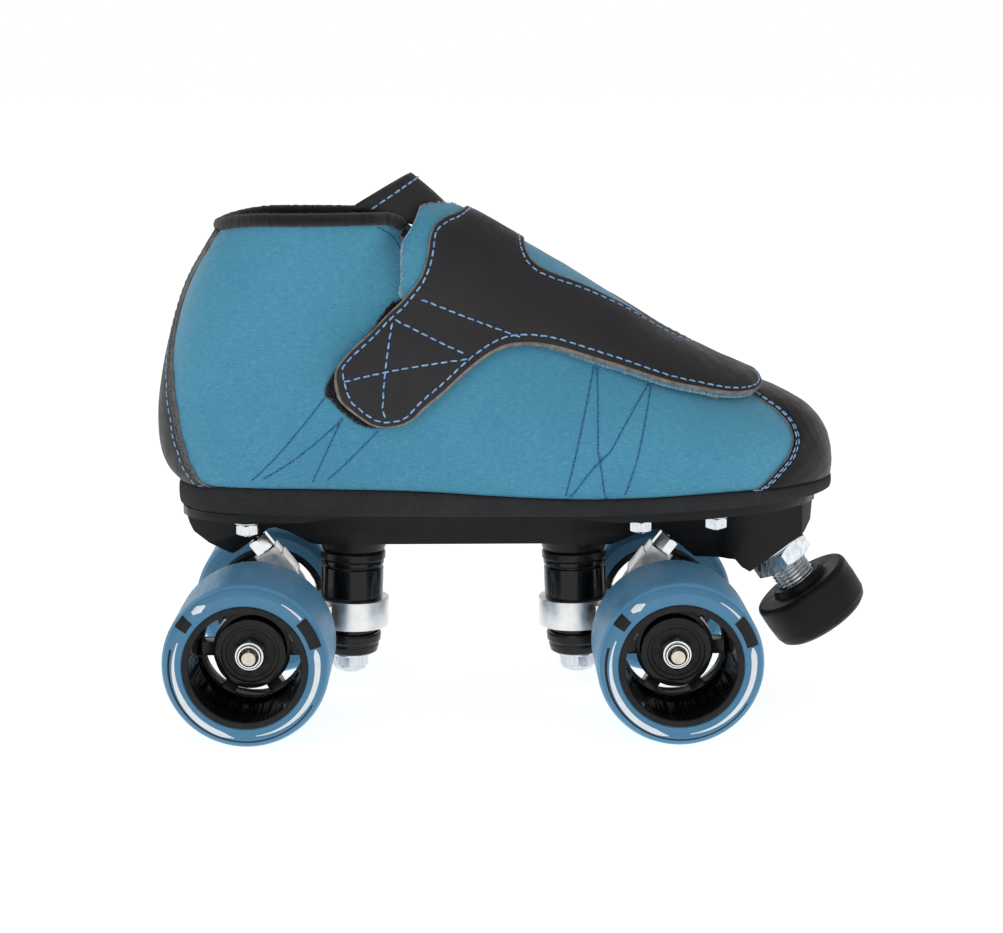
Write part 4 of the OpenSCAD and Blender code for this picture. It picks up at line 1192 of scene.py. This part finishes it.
def cover_lift(t, a):
    t, a = np.asarray(t, float), np.asarray(a, float)
    spread = np.linspace(-0.25, 0.25, 5)
    ridge = np.mean([np.interp(t + w, *zip(*RIDGE_LIFT)) for w in spread], axis=0)
    fall = np.mean([np.interp(np.abs(a) + w / 12, *zip(*SIDE_FALL)) for w in spread], axis=0)
    return SIDE_LIFT + (ridge - SIDE_LIFT) * fall + 0.12 * bumps(t, a, 1.5)


def overlay_lift(t, a):
    return cover_lift(t, a) + COVER_T + OVERLAY_GAP


def overlay_top(t, a):
    return overlay_lift(t, a) + LEATHER_T


OVERLAY_OUTLINE = [(9.86, 0.0), (9.95, -0.061), (10.12, -0.098), (10.26, -0.135), (10.27, -0.17),
                   (10.18, -0.211), (10.13, -0.253), (10.23, -0.299), (10.39, -0.335), (10.52, -0.372),
                   (10.7, -0.413), (10.77, -0.448), (10.68, -0.472), (10.38, -0.51), (10.08, -0.54),
                   (9.81, -0.563), (9.61, -0.56), (9.42, -0.535), (9.27, -0.488), (9.08, -0.448),
                   (8.84, -0.393), (8.57, -0.346), (8.29, -0.321), (7.86, -0.304), (7.18, -0.294),
                   (6.45, -0.282), (5.63, -0.268), (4.75, -0.247), (4.2, -0.205), (3.93, -0.14),
                   (3.88, -0.06), (3.88, 0.06), (3.95, 0.14), (4.15, 0.19), (4.7, 0.235), (5.6, 0.25),
                   (7.2, 0.25), (8.6, 0.25), (9.6, 0.235), (9.95, 0.19), (9.95, 0.12), (9.88, 0.06)]
WINDOW_SIDE = [(8.66, 0.05), (8.58, 0.088), (8.43, 0.114), (8.14, 0.116), (7.4, 0.085), (6.58, 0.055),
               (5.9, 0.024)]
WINDOW_OUTLINE = [(8.68, 0.0), *[(t, -a) for t, a in WINDOW_SIDE], (5.62, 0.0), *WINDOW_SIDE[::-1]]
CANVAS_OUTLINE = [
    (10.05, 0.02), (10.3, -0.03), (10.62, -0.066), (11.0, -0.088), (11.3, -0.105), (11.28, -0.152),
    (10.85, -0.205), (10.5, -0.262), (10.3, -0.3), (9.6, -0.31), (8.6, -0.31), (7.9, -0.302), (7.2, -0.297),
    (6.5, -0.286), (5.7, -0.273), (4.8, -0.252), (4.25, -0.21), (4.0, -0.14), (3.95, -0.06), (3.95, 0.06),
    (4.0, 0.14), (4.2, 0.195), (4.7, 0.243), (5.6, 0.26), (7.2, 0.262), (8.6, 0.262), (9.7, 0.245),
    (10.1, 0.19), (10.1, 0.12), (10.08, 0.06)]
# Sewn lines across the overlay: where the strap starts, across it, and the cross that holds its hooks.
STRAP_SEAMS = [
    [(9.97, -0.297), (9.13, -0.303), (8.29, -0.306)],
    [(10.25, -0.345), (9.53, -0.36), (8.86, -0.372)],
    [(10.25, -0.35), (9.97, -0.44), (9.68, -0.53)],
    [(10.54, -0.47), (9.7, -0.422), (8.88, -0.375)]]
SEAM_INSET = 2.4


def lace_cover():
    cloth = curve_through(CANVAS_OUTLINE, 1.4, True)
    canvas_piece = panel("cover_canvas_sheet", cloth, cover_lift, COVER_T, "lace_cover",
                         [CANVAS, CANVAS_BACK, CANVAS_RAW], 1.9, stands_for=["cover_canvas"])
    hide = curve_through(OVERLAY_OUTLINE, 1.4, True)
    window = curve_through(WINDOW_OUTLINE, 1.4, True)
    seams = [curve_through(row, 1.4) for row in STRAP_SEAMS]
    rim_seam = inset(hide, SEAM_INSET)
    window_seam = inset(window, -SEAM_INSET)
    closed_rim = np.concatenate([rim_seam, rim_seam[:1]])
    closed_window = np.concatenate([window_seam, window_seam[:1]])
    panel("cover_overlay_leather", hide, overlay_lift, LEATHER_T, "lace_cover",
          [LEATHER, LEATHER_RAW, LEATHER_RAW], 1.25, [window],
          [*seams, closed_rim, closed_window], ["cover_overlay"], sink=0.38, band=0.7)
    build = Build()

    def on_top(t, a):
        return overlay_top(t, a) - 0.32

    for k, line in enumerate([closed_rim, closed_window, *seams]):
        sewn(build, line, on_top, seed=20 + k)
    build.made("cover_stitching", "lace_cover", [THREAD, HOLE_SHADE_NAVY], "stitch_blue")
    frays = Build()
    n = len(cloth)
    fibres(frays, cloth[:int(n * 0.21)], lambda t, a: cover_lift(t, a) + 0.5, 420, 1.1, -1, 31, thick=0.07)
    fibres(frays, cloth[int(n * 0.3):int(n * 0.56)], lambda t, a: cover_lift(t, a) + 0.3, 320, 0.9, -1, 32,
           thick=0.07)
    frays.made("cover_frayed_edge", "lace_cover", [THREAD_PALE], "canvas_blue")
    hooks = curve_through([(8.95, -0.34), (10.2, -0.345), (10.5, -0.39), (10.62, -0.44), (10.3, -0.49),
                           (10.0, -0.53), (9.7, -0.54), (9.45, -0.48), (9.2, -0.42)], 1.5, True)
    panel("hook_pad_fuzz", hooks, lambda t, a: cover_lift(t, a) + 0.1, 0.9, "lace_cover",
          [HOOKS, HOOKS, HOOKS], 2.2, stands_for=["hook_pad"], soft_edge=0.1)


lace_cover()


# ---------------------------------------------------------------- seams of the boot
def boot_stitching():
    build, pale = Build(), Build()
    for side in (-1, 1):
        for k, line in enumerate(seam_lines(side)):
            sewn(pale, line, lambda t, a: cloth_lift(t, a) - 0.2, 3.0, 2.2, 0.32, 40 + k, 0.15)
    pale.made("quarter_stitching", "skate", [THREAD_CANVAS, HOLE_SHADE_BLUE], "stitch_blue")
    a = np.linspace(-0.985, 0.985, 300)
    for k, depth in enumerate(CAP_ROWS):
        line = np.stack([cap_edge(a) * FLAT[0] - depth, a * FLAT[1]], 1)
        line = line[np.abs(a) > 0.12] if k else line
        for part in ([line] if not k else [line[:len(line) // 2], line[len(line) // 2:]]):
            sewn(build, part, lambda t, a: np.full(np.shape(t), LEATHER_T - 0.22), 3.2, 2.4, 0.3, 60 + k)
    t = np.linspace(11.7, 19.3, 200)
    for side in (-1, 1):
        line = np.stack([t * FLAT[0], side * (strip_edge(t) + 0.034) * FLAT[1]], 1)
        sewn(build, line, lambda t, a: np.full(np.shape(t), LEATHER_T + 0.1), 3.3, 2.4, 0.3, 70 + side)
    build.made("boot_stitching", "skate", [THREAD, HOLE_SHADE_NAVY], "stitch_blue")


boot_stitching()


def tongue_stitching():
    """A row of stitches just under the tongue's top edge."""
    build = Build()
    across = np.linspace(-0.93, 0.93, 60)
    row = tongue_point(np.full(60, len(TONGUE) - 1.4), across, -0.05)
    whole, at = walker(row, tongue_point(np.full(60, len(TONGUE) - 1.4), across, -1.0) - row)
    pitch, length = 3.7, 2.7
    for k in range(int(whole / pitch)):
        spots, ups = [], []
        for f, up in ((0, -0.3), (0.15, 0.12), (0.5, 0.25), (0.85, 0.12), (1, -0.3)):
            p, n = at((k + 0.1) * pitch + f * length)
            spots.append(p + n * up)
            ups.append(n)
        build.add(*tube(spots, [0.2, 0.34, 0.36, 0.34, 0.2], 6, 0.85, ups))
    build.made("tongue_stitching", "skate", [THREAD], "stitch_blue")


tongue_stitching()

# ---------------------------------------------------------------- sole
SOLE_BOTTOM = [(-113, 79.5), (-60, 79.5), (0, 80), (50, 81), (95, 83), (125, 84), (148, 84.5)]
SOLE_EDGE = [[-112.3, 0], [-110.4, 9.5], [-101.5, 22], [-85, 30.2], [-60, 33.4], [-20, 35.8], [20, 39.8],
             [50, 43.6], [75, 45.6], [97, 44.2], [113, 39.8], [127, 32.6], [138, 23], [145, 11.5],
             [147.3, 0]]


def sole_loop(grow, count=120):
    """The sole's outline seen from above, moved outwards by grow."""
    t = np.linspace(0, len(SOLE_EDGE) - 1, count)
    p = spline(SOLE_EDGE, t)
    d = spline(SOLE_EDGE, t + 0.05) - spline(SOLE_EDGE, t - 0.05)
    d /= np.linalg.norm(d, axis=1, keepdims=True)
    x = p[:, 0] - d[:, 1] * grow
    y = np.maximum(p[:, 1] + d[:, 0] * grow, 0)
    outer = np.stack([x, bend(x) - y], 1)
    inner = np.stack([x, bend(x) + y], 1)[-2:0:-1]
    return np.concatenate([outer, inner])


def sole_top_z(x):
    t = np.linspace(0, 11, 60)
    s = spline(SECTIONS, t)
    return np.interp(x, s[::-1, 0], s[::-1, 1] - 0.15)


def layered(name, rings, material, stands_for, sharp=60):
    """A closed body from rings of equal length, the first and last closed by a fan."""
    count = len(rings[0])
    points = np.concatenate(rings)
    faces = grid_faces(len(rings), count, wrap_cols=True)
    first, last = rings[0].mean(0), rings[-1].mean(0)
    base = len(points)
    points = np.concatenate([points, [first, last]])
    start = (len(rings) - 1) * count
    faces += [[(k + 1) % count, k, base] for k in range(count)]
    faces += [[start + k, start + (k + 1) % count, base + 1] for k in range(count)]
    return piece(name, points, faces, "skate", [material], stands_for, sharp=sharp)


def outsole():
    rings = []
    for grow, up in ((-14, 0), (-2, 0), (-0.9, 0.03), (-0.25, 0.12), (0, 0.26), (0.15, 0.5), (0.05, 0.78),
                     (-0.4, 0.93), (-1.3, 1), (-3.4, 1), (-10, 1)):
        loop = sole_loop(grow)
        low = np.interp(loop[:, 0], *zip(*SOLE_BOTTOM))
        high = sole_top_z(loop[:, 0])
        rough = 0.12 * np.sin(loop[:, 0] * 0.7) * np.sin(loop[:, 0] * 0.23 + 1) * (1 if 0 < up < 1 else 0)
        rings.append(np.column_stack([loop[:, 0], loop[:, 1] + np.sign(loop[:, 1]) * rough,
                                      low + (high - low) * up]))
    return layered("outsole_foam", rings, FOAM, ["outsole"], 45)


outsole()


def insole():
    rings = []
    for grow, z in ((-16, 92.4), (-9.6, 92.4), (-9.1, 92.9), (-9, 94), (-9.3, 94.9), (-10, 95.4),
                    (-16, 95.2)):
        loop = sole_loop(grow)
        rings.append(np.column_stack([loop, np.full(len(loop), z)]))
    return layered("insole_felt_pad", rings, INSOLE, ["insole"])


insole()

# ---------------------------------------------------------------- plate and its fasteners
softened("plate", "plate_moulding", 0.7, NYLON)
softened("pivot_cups", "pivot_cup_inserts", 0.3, CUSHION)
FLANGE_T = 3.4
BOLT_R = 2.5
MOUNT_NUT_ACROSS = 8
BOLTS = [(x, side * y) for side in (-1, 1) for x, y in ((-83.5, 23), (67.9, 30), (96.8, 30))]


def mounting_hardware():
    nuts, bolts, washers = Build(), Build(), Build()
    for x, y in BOLTS:
        under = float(np.interp(x, *zip(*SOLE_BOTTOM))) - FLANGE_T
        spot = frame_of((x, y, under), (0, 0, -1))
        washers.put(lathe([(2.6, 0.25), (5, 0.25), (5, 1.05), (2.6, 1.05)], 0.2, 48), spot)
        nuts.put(hex_nut(MOUNT_NUT_ACROSS, 4, BOLT_R, 1.15), spot)
        bolts.put(threaded(BOLT_R, 0, 5.9, 0.8, 0.3, 32, 0.6), spot)
        top = (90 if x < 0 else float(sole_top_z(x))) + 0.35
        head = frame_of((x, y, top), (0, 0, 1))
        bolts.put(lathe([(0.01, 0), (4, 0), (4, 0.6), (3, 1.4), (0.01, 1.4)], 0.25, 40), head)
    nuts.made("mounting_hex_nuts", "skate", [ZINC], "zinc_steel", ["mounting_nuts"], sharp=25)
    washers.made("mounting_flat_washers", "skate", [STEEL], "zinc_steel", ["mounting_washers"])
    bolts.made("mounting_screws", "skate", [ZINC], "zinc_steel", ["mounting_bolts"])


mounting_hardware()

# ---------------------------------------------------------------- trucks
KINGPIN_X = 45
KINGPIN_LEAN = math.radians(2.2)
RING_Z = 35.1
HALF_RING = 5.6
BOSS_W = 25
RETAINER_W = 21.2
RETAINER_R = 12.9
CUP_FOOT = -17.1
KINGPIN_R = 4.75
KINGPIN_NUT_ACROSS = 14.3
AXLE_R = 3.5
AXLE_END = 59.4
AXLE_NUT_ACROSS = 11
BEARING_R = 11
BEARING_W = 7
SPACER = 10
STACK = 2 * BEARING_W + SPACER
PIVOT_FACE = (83.6, 66.2)
PIVOT_SLOPE = math.radians(52.3)


def kingpin_spot(end):
    """The kingpin's own frame: z runs up it from the middle of the hanger ring."""
    return frame_of((end * KINGPIN_X, 0, RING_Z),
                    (-end * math.sin(KINGPIN_LEAN), 0, math.cos(KINGPIN_LEAN)))


def pivot_spot(end):
    """The pivot pin's own frame: z runs from the plate's pivot face down the pin."""
    return frame_of((end * PIVOT_FACE[0], 0, PIVOT_FACE[1]),
                    (-end * math.cos(PIVOT_SLOPE), 0, -math.sin(PIVOT_SLOPE)))


def turned_piece(name, profile, spot, body, material, stands_for=(), radius=0.3, count=96):
    points, faces = lathe(profile, radius, count)
    return piece(name, placed(points, spot), faces, body, [material], stands_for, sharp=40)


def follow(cushion):
    """Bakes the cushion's placement into its mesh."""
    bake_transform(cushion)


def cushions(end, word):
    spot = kingpin_spot(end)
    low, high = HALF_RING + 0.05, RETAINER_W - 0.05
    neck = high - 2.6
    profile = [(5.2, low), (12.0, low), (12.3, low + 0.8), (12.35, (low + neck) / 2), (12.3, neck - 0.5),
               (11.9, neck - 0.2), (11.7, neck + 0.2), (11.9, neck + 0.6), (12.4, neck + 0.9), (12.4, high),
               (5.2, high)]
    barrel = turned_piece(word + "_barrel_cushion", profile, spot, None, CUSHION,
                          [word + "_upper_cushion"], 0.35)
    follow(barrel)
    low, high = CUP_FOOT + 1.55, -HALF_RING - 0.05
    profile = [(5.2, low), (9.6, low), (10.1, low + 1), (10.1, high - 1.2), (9.7, high), (5.2, high)]
    cone = turned_piece(word + "_cone_cushion", profile, spot, None, CUSHION,
                        [word + "_lower_cushion"], 0.4)
    follow(cone)
    build = Build()
    ring = [(KINGPIN_R, RETAINER_W), (RETAINER_R - 0.6, RETAINER_W), (RETAINER_R, RETAINER_W + 0.6),
            (RETAINER_R, BOSS_W - 0.7), (RETAINER_R - 0.6, BOSS_W - 0.05), (KINGPIN_R, BOSS_W - 0.05)]
    build.put(lathe(ring, 0.3, 96), spot)
    cup = [(KINGPIN_R, CUP_FOOT), (9.4, CUP_FOOT), (10.7, CUP_FOOT + 0.7), (11.3, CUP_FOOT + 3.2),
           (11.2, CUP_FOOT + 4.4), (11.9, CUP_FOOT + 5.2), (12.1, -9.3), (11.7, -8.5), (10.9, -8.4),
           (10.45, -8.9), (10.45, CUP_FOOT + 1.5), (KINGPIN_R, CUP_FOOT + 1.5)]
    build.put(lathe(cup, 0.35, 96), spot)
    build.made(word + "_cushion_cups", "skate", [RETAINER], "painted_black", [word + "_cushion_retainers"])


def kingpin(end, word):
    spot = kingpin_spot(end)
    points, faces = threaded(KINGPIN_R, -25, 33, 1.25, 0.45, 48, 1.0)
    piece(word + "_kingpin_bolt", placed(points, spot), faces, "skate", [ZINC],
          [word + "_kingpin"], sharp=50)
    build = Build()
    build.put(hex_nut(KINGPIN_NUT_ACROSS, 5.0, KINGPIN_R, CUP_FOOT - 5.1), spot)
    build.put(lathe([(KINGPIN_R, CUP_FOOT - 7), (5.9, CUP_FOOT - 7), (6.6, CUP_FOOT - 6.2),
                     (6.7, CUP_FOOT - 4.9), (KINGPIN_R, CUP_FOOT - 4.9)], 0.4, 72), spot)
    build.put(lathe([(KINGPIN_R, CUP_FOOT - 0.9), (8.6, CUP_FOOT - 0.9), (8.6, CUP_FOOT - 0.05),
                     (KINGPIN_R, CUP_FOOT - 0.05)], 0.25, 72), spot)
    build.made(word + "_kingpin_locknut", "skate", [ZINC], "zinc_steel", [word + "_kingpin_nut"], sharp=25)


def axle(end, word):
    body = word + "_truck"
    spot = frame_of((end * AXLE_X, 0, AXLE_Z), (0, 1, 0), (0, 0, 1))
    stack = WHEEL_INNER_Y + STACK
    build = Build()
    plain_profile = [(0.01, -stack), (3.45, -stack), (3.45, stack), (0.01, stack)]
    build.put(turned(plain_profile, 48), spot)
    for low, high in ((-AXLE_END, -stack + 0.1), (stack - 0.1, AXLE_END)):
        build.put(threaded(AXLE_R, low, high, 1.0, 0.35, 40, 1.1), spot)
    build.made(word + "_axle_rod", body, [NICKEL], "chrome_steel", [word + "_axle"])
    nuts = Build()
    for side in (-1, 1):
        out = frame_of((end * AXLE_X, side * (stack + 0.05), AXLE_Z), (0, side, 0), (0, 0, 1))
        nuts.put(hex_nut(AXLE_NUT_ACROSS, 4.2, AXLE_R, 0), out)
        nuts.put(lathe([(AXLE_R, 4.1), (4.7, 4.1), (4.7, 5.0), (4.3, 5.5), (AXLE_R, 5.5)], 0.35, 60), out)
    nuts.made(word + "_axle_locknuts", body, [CHROME], "chrome_steel", [word + "_axle_nuts"], sharp=25)
    races = Build()
    for side in (-1, 1):
        out = frame_of((end * AXLE_X, side * WHEEL_INNER_Y, AXLE_Z), (0, side, 0), (0, 0, 1))
        for low, high, r in ((0, BEARING_W, 5.3), (BEARING_W, STACK - BEARING_W, 4.7),
                             (STACK - BEARING_W, STACK, 5.3)):
            races.put(lathe([(AXLE_R, low), (r, low), (r, high), (AXLE_R, high)], 0.2, 60), out)
    races.made(word + "_inner_races", body, [STEEL], "bearing_steel", [word + "_bearing_races"])


def pivot(end, word):
    body = word + "_truck"
    spot = pivot_spot(end)
    tip = [(r, z - 5) for r, z in arc(4, range(15, 135, 15))]
    pin = [(0.01, -9), *tip, (3.0, -2.0), (3.0, 17), (0.01, 17)]
    points, faces = turned(pin, 48)
    piece(word + "_pivot_stud", placed(points, spot), faces, body, [CHROME],
          [word + "_pivot_pin"])
    build = Build()
    build.put(hex_nut(8, 6.1, 3.0, 2.2), spot)
    build.made(word + "_pivot_jam_nut", body, [CHROME], "chrome_steel", [word + "_pivot_nut"], sharp=25)


for end, word in ((-1, "rear"), (1, "front")):
    softened(word + "_hanger", word + "_hanger_casting", 0.9, ALUMINIUM, 30)
    cushions(end, word)
    kingpin(end, word)
    axle(end, word)
    pivot(end, word)

# ---------------------------------------------------------------- wheels, drawn with local z along the axle
HUB_R = 23.1
WHEEL_R = AXLE_Z
EDGE_R = 4
FACE_R = 27.6


def wheel_spot(end, side):
    """A wheel's own frame: z runs from its inner face outwards and x points up."""
    return frame_of((end * AXLE_X, side * WHEEL_INNER_Y, AXLE_Z), (0, side, 0), (-side, 0, 0))


ROUND_OUT = [(WHEEL_R - EDGE_R + EDGE_R * math.sin(math.radians(w)),
              WHEEL_W - EDGE_R + EDGE_R * math.cos(math.radians(w)) - 0.2) for w in range(0, 91, 10)]
FACE_LINE = [(HUB_R + 0.5, WHEEL_W - 0.02), (FACE_R - 0.1, WHEEL_W), *ROUND_OUT[2:]]


def tyre(end, side, word):
    round_in = [(r, WHEEL_W - z) for r, z in ROUND_OUT[::-1]]
    lines = [(WHEEL_R, z) for z in np.linspace(WHEEL_W - EDGE_R - 1, EDGE_R + 1, 9)]
    rings = [(HUB_R + 0.02, WHEEL_W - 0.5), (HUB_R + 0.5, WHEEL_W - 0.02), (FACE_R - 0.4, WHEEL_W - 0.04),
             (FACE_R - 0.1, WHEEL_W + 0.0)]
    profile = rings + ROUND_OUT[2:] + lines + round_in[:-2] + [(FACE_R - 0.1, 0), (FACE_R - 0.4, 0.04),
                                                               (HUB_R + 0.5, 0.3), (HUB_R + 0.02, 0.8)]
    points, faces = turned(profile, 120)
    # The tread faces take the lighter copy of the urethane, which is painted light.
    painted_light_tread = range(len(rings) + 3, len(profile) - len(rings) - 3)
    kinds = [1 if k % len(profile) in painted_light_tread else 0 for k in range(len(faces))]
    piece(word + "_tyre_urethane", placed(points, wheel_spot(end, side)), faces, word + "_wheel",
          [URETHANE, TREAD_PAINTED_LIGHT], [word + "_tyre"], kinds, sharp=30)


def face_height(r):
    """Height of the tyre's outer face at a radius, down over its rounded edge."""
    return np.interp(r, [p[0] for p in FACE_LINE], [p[1] for p in FACE_LINE])


PRINT_STEPS = 13


def stripe(build, spot, rows, kind):
    """A thin printed stripe through rows of angle, middle radius and width, laid on the tyre's face."""
    turns = [row[0] for row in rows]
    count = max(int(abs(turns[-1] - turns[0]) / 2), 3)
    order = np.argsort(turns)
    points = []
    for rise in (0.06, -0.25):
        for w in np.linspace(turns[0], turns[-1], count + 1):
            middle_r, width = [np.interp(w, np.array(turns)[order],
                                         np.array([row[k] for row in rows])[order]) for k in (1, 2)]
            for g in np.linspace(-0.5, 0.5, PRINT_STEPS):
                r = middle_r + g * width
                points.append([r * math.cos(math.radians(w)), r * math.sin(math.radians(w)),
                               face_height(r) + rise])
    faces, _ = shell_faces(count + 1, PRINT_STEPS)
    if turns[-1] < turns[0]:
        faces = [f[::-1] for f in faces]
    build.add(placed(points, spot), faces, kind)


# Stripes round a wheel's face: angle from the bottom, middle radius and width; 0 is pale and 1 is dark.
STRIPES = [(1, [(-105, 27.9, 0.9), (-30, 28.1, 0.7), (60, 28.4, 0.5)]),
           (1, [(106, 27.2, 4.4), (130, 27.2, 4.4)]),
           (1, [(-132, 27.5, 4.8), (-122, 27.5, 4.8)]),
           (0, [(-112, 26.2, 0.4), (-60, 26.2, 2.0), (-20, 26.5, 2.0), (-9, 26.9, 0.15)]),
           (0, [(8, 26.0, 0.3), (60, 26.5, 1.8), (100, 26.9, 2.2), (105, 27.0, 0.6)]),
           (0, [(-150, 27.5, 0.5), (-144, 27.6, 2.8), (-138, 27.9, 1.2)]),
           (0, [(131, 27.9, 0.9), (150, 27.9, 0.3)])]


def wheel_print(end, side, word):
    """Plain stripes round the wheel's face: a thin dark ring, pale tapered arcs and dark blocks."""
    build = Build()
    for kind, rows in STRIPES:
        stripe(build, wheel_spot(end, side), rows, kind)
    build.made(word + "_face_print", word + "_wheel", [PRINT_WHITE, PRINT_BLACK], "urethane_blue")


def hub(end, side, word):
    softened(word + "_hub", word + "_hub_moulding", 0.45, HUB, 35)
    spot = wheel_spot(end, side)
    build = Build()
    build.put(lathe([(20.6, WHEEL_W - 1.0), (20.9, WHEEL_W + 0.15), (HUB_R, WHEEL_W + 0.15),
                     (HUB_R, WHEEL_W - 1.0)], 0.3, 120), spot)
    build.made(word + "_hub_lip", word + "_wheel", [HUB_RIM], "nylon_gloss_black")


SHIELD_R = 9.2
BALL_R = 1.93
BALLS = 7
BALL_RING_R = 7.25


def bearings(end, side, word):
    build = Build()
    spot = wheel_spot(end, side)
    for foot in (0, STACK - BEARING_W):
        build.put(lathe([(SHIELD_R, foot), (BEARING_R, foot), (BEARING_R, foot + BEARING_W),
                         (SHIELD_R, foot + BEARING_W)], 0.3, 72), spot, 1)
        for low in (foot + 0.2, foot + 6.4):
            build.put(lathe([(5.5, low), (SHIELD_R, low), (SHIELD_R, low + 0.4), (5.5, low + 0.4)], 0.12,
                            72), spot, 1)
        for k in range(BALLS):
            turn = TAU * k / BALLS
            ball = [(0.01, -BALL_R), *arc(BALL_R, range(20, 180, 20)), (0.01, BALL_R)]
            points, faces = turned(ball, 16)
            points = points + np.array([BALL_RING_R * math.cos(turn), BALL_RING_R * math.sin(turn),
                                        foot + BEARING_W / 2])
            build.add(placed(points, spot), faces, 0)
    build.made(word + "_bearing_set", word + "_wheel", [STEEL, SHIELD], "bearing_steel",
               [word + "_bearings"])


for end, where in ((-1, "rear"), (1, "front")):
    for side, hand in ((-1, "outer"), (1, "inner")):
        wheel = where + "_" + hand
        tyre(end, side, wheel)
        wheel_print(end, side, wheel)
        hub(end, side, wheel)
        bearings(end, side, wheel)

# ---------------------------------------------------------------- toe stop
STEM_FACE = (123.7, 61.2)
STEM_LEAN = math.radians(35)
PAD_TOP = 19.2
STOPPER_R = 20.4
STOPPER_H = 19
STEM_R = 7.9
STEM_NUT_ACROSS = 24


def toe_stop():
    spot = frame_of((STEM_FACE[0], 0, STEM_FACE[1]), (math.sin(STEM_LEAN), 0, -math.cos(STEM_LEAN)))
    points, faces = threaded(STEM_R, -12, 29, 1.5, 0.55, 64, 0.8)
    piece("toe_stop_screw", placed(points, spot), faces, "toe_stop", [STEEL],
          ["toe_stop_stem"], sharp=50)
    build = Build()
    build.put(hex_nut(STEM_NUT_ACROSS, 7.4, 8.0, 0.9, count=120), spot)
    build.put(lathe([(8.0, 0.2), (12.6, 0.2), (12.6, 0.95), (8.0, 0.95)], 0.25, 96), spot)
    build.made("toe_stop_jam_nut", "skate", [ZINC], "zinc_steel", ["toe_stop_nut"], sharp=25)
    top, foot = PAD_TOP, PAD_TOP + STOPPER_H
    profile = [(7.95, top - 2.4), (10.4, top - 2.4), (11.2, top - 1.9), (11.5, top - 0.1),
               (12.2, top + 0.15), (STOPPER_R - 1.9, top), (STOPPER_R - 0.6, top + 0.5),
               (STOPPER_R - 0.1, top + 1.7), (STOPPER_R, top + 8), (STOPPER_R - 0.3, foot - 4.4),
               (STOPPER_R - 1.2, foot - 2.0), (STOPPER_R - 3, foot - 0.5), (STOPPER_R - 5.4, foot),
               (0.01, foot), (0.01, foot - 9), (7.95, foot - 10)]
    turned_piece("toe_stop_rubber", profile, spot, "toe_stop", RUBBER, ["toe_stop_pad"],
                 0.8, 128)


toe_stop()


# ---------------------------------------------------------------- stage, light and camera
FLOOR_REACH = 60.0
LENS = 73.85
CAMERA_PLACE = [2.48, -802.4, 239.5]
CAMERA_DOWN = 10.35
CAMERA_SIDE = 0.9


def stage():
    """A wide white floor under a studio whose light comes mostly from round about, and less from above."""
    shader = Shader("floor_white", (0.5, 0.5, 0.5), 0.8, specular=0.0)
    shader.tint(shader.noise(400, 2), (0.49, 0.49, 0.49), 0.3)
    shader.set("Emission Color", (1, 1, 1, 1))
    shader.set("Emission Strength", 0.84)
    far = FLOOR_REACH
    mesh = bpy.data.meshes.new("floor")
    mesh.from_pydata([(-far, -far, 0), (far, -far, 0), (far, far, 0), (-far, far, 0)], [], [(0, 1, 2, 3)])
    mesh.materials.append(shader.material)
    linked("floor", mesh)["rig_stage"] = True
    world = bpy.data.worlds.new("studio")
    world.use_nodes = True
    tree = world.node_tree
    spot = tree.nodes.new("ShaderNodeTexCoord")
    split = tree.nodes.new("ShaderNodeSeparateXYZ")
    fall = tree.nodes.new("ShaderNodeMapRange")
    for key, value in (("From Min", 0.12), ("From Max", 0.55), ("To Min", 1.0), ("To Max", 0.3)):
        fall.inputs[key].default_value = value
    tree.links.new(spot.outputs["Generated"], split.inputs["Vector"])
    tree.links.new(split.outputs["Z"], fall.inputs["Value"])
    tree.links.new(fall.outputs["Result"], tree.nodes["Background"].inputs["Strength"])
    tree.nodes["Background"].inputs["Color"].default_value = (1, 1, 1, 1)
    bpy.context.scene.world = world


def lamp(name, place, target, size, power, tall=None):
    data = bpy.data.lights.new(name, "AREA")
    data.shape = "RECTANGLE"
    data.size = size
    data.size_y = tall or size
    data.energy = power
    made = linked(name, data)
    made.location = place
    made.rotation_euler = (Vector(target) - Vector(place)).to_track_quat("-Z", "Y").to_euler()


def studio():
    middle_z = cad_box[1][2] / 2
    lamp("key", (-0.5, -1.3, 1.3), (0, 0, middle_z), 0.9, 3.6)
    lamp("fill", (1.2, -1.0, 0.6), (0, 0, middle_z), 0.8, 1.0)
    lamp("top", (0.1, 0.3, 1.6), (0, 0, middle_z), 1.2, 2.4)


def camera():
    """Stands 0.8 m out from the outer side and 0.24 m up, looking slightly down and past the wheels."""
    data = bpy.data.cameras.new("camera")
    data.lens = LENS
    data.sensor_width = 36
    data.clip_start = 0.01
    made = linked("camera", data)
    place = Vector(metres(CAMERA_PLACE))
    down, side = math.radians(CAMERA_DOWN), math.radians(CAMERA_SIDE)
    look = Vector((math.sin(side) * math.cos(down), math.cos(side) * math.cos(down), -math.sin(down)))
    made.location = place
    made.rotation_euler = look.to_track_quat("-Z", "Y").to_euler()
    bpy.context.scene.camera = made


stage()
studio()
camera()
bpy.context.scene.view_settings.view_transform = "Standard"


def plain_lists(value):
    return [plain_lists(v) for v in value] if hasattr(value, "__len__") else float(value)


visual_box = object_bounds()
{"cad": plain_lists(cad_box), "visual": plain_lists(visual_box)}
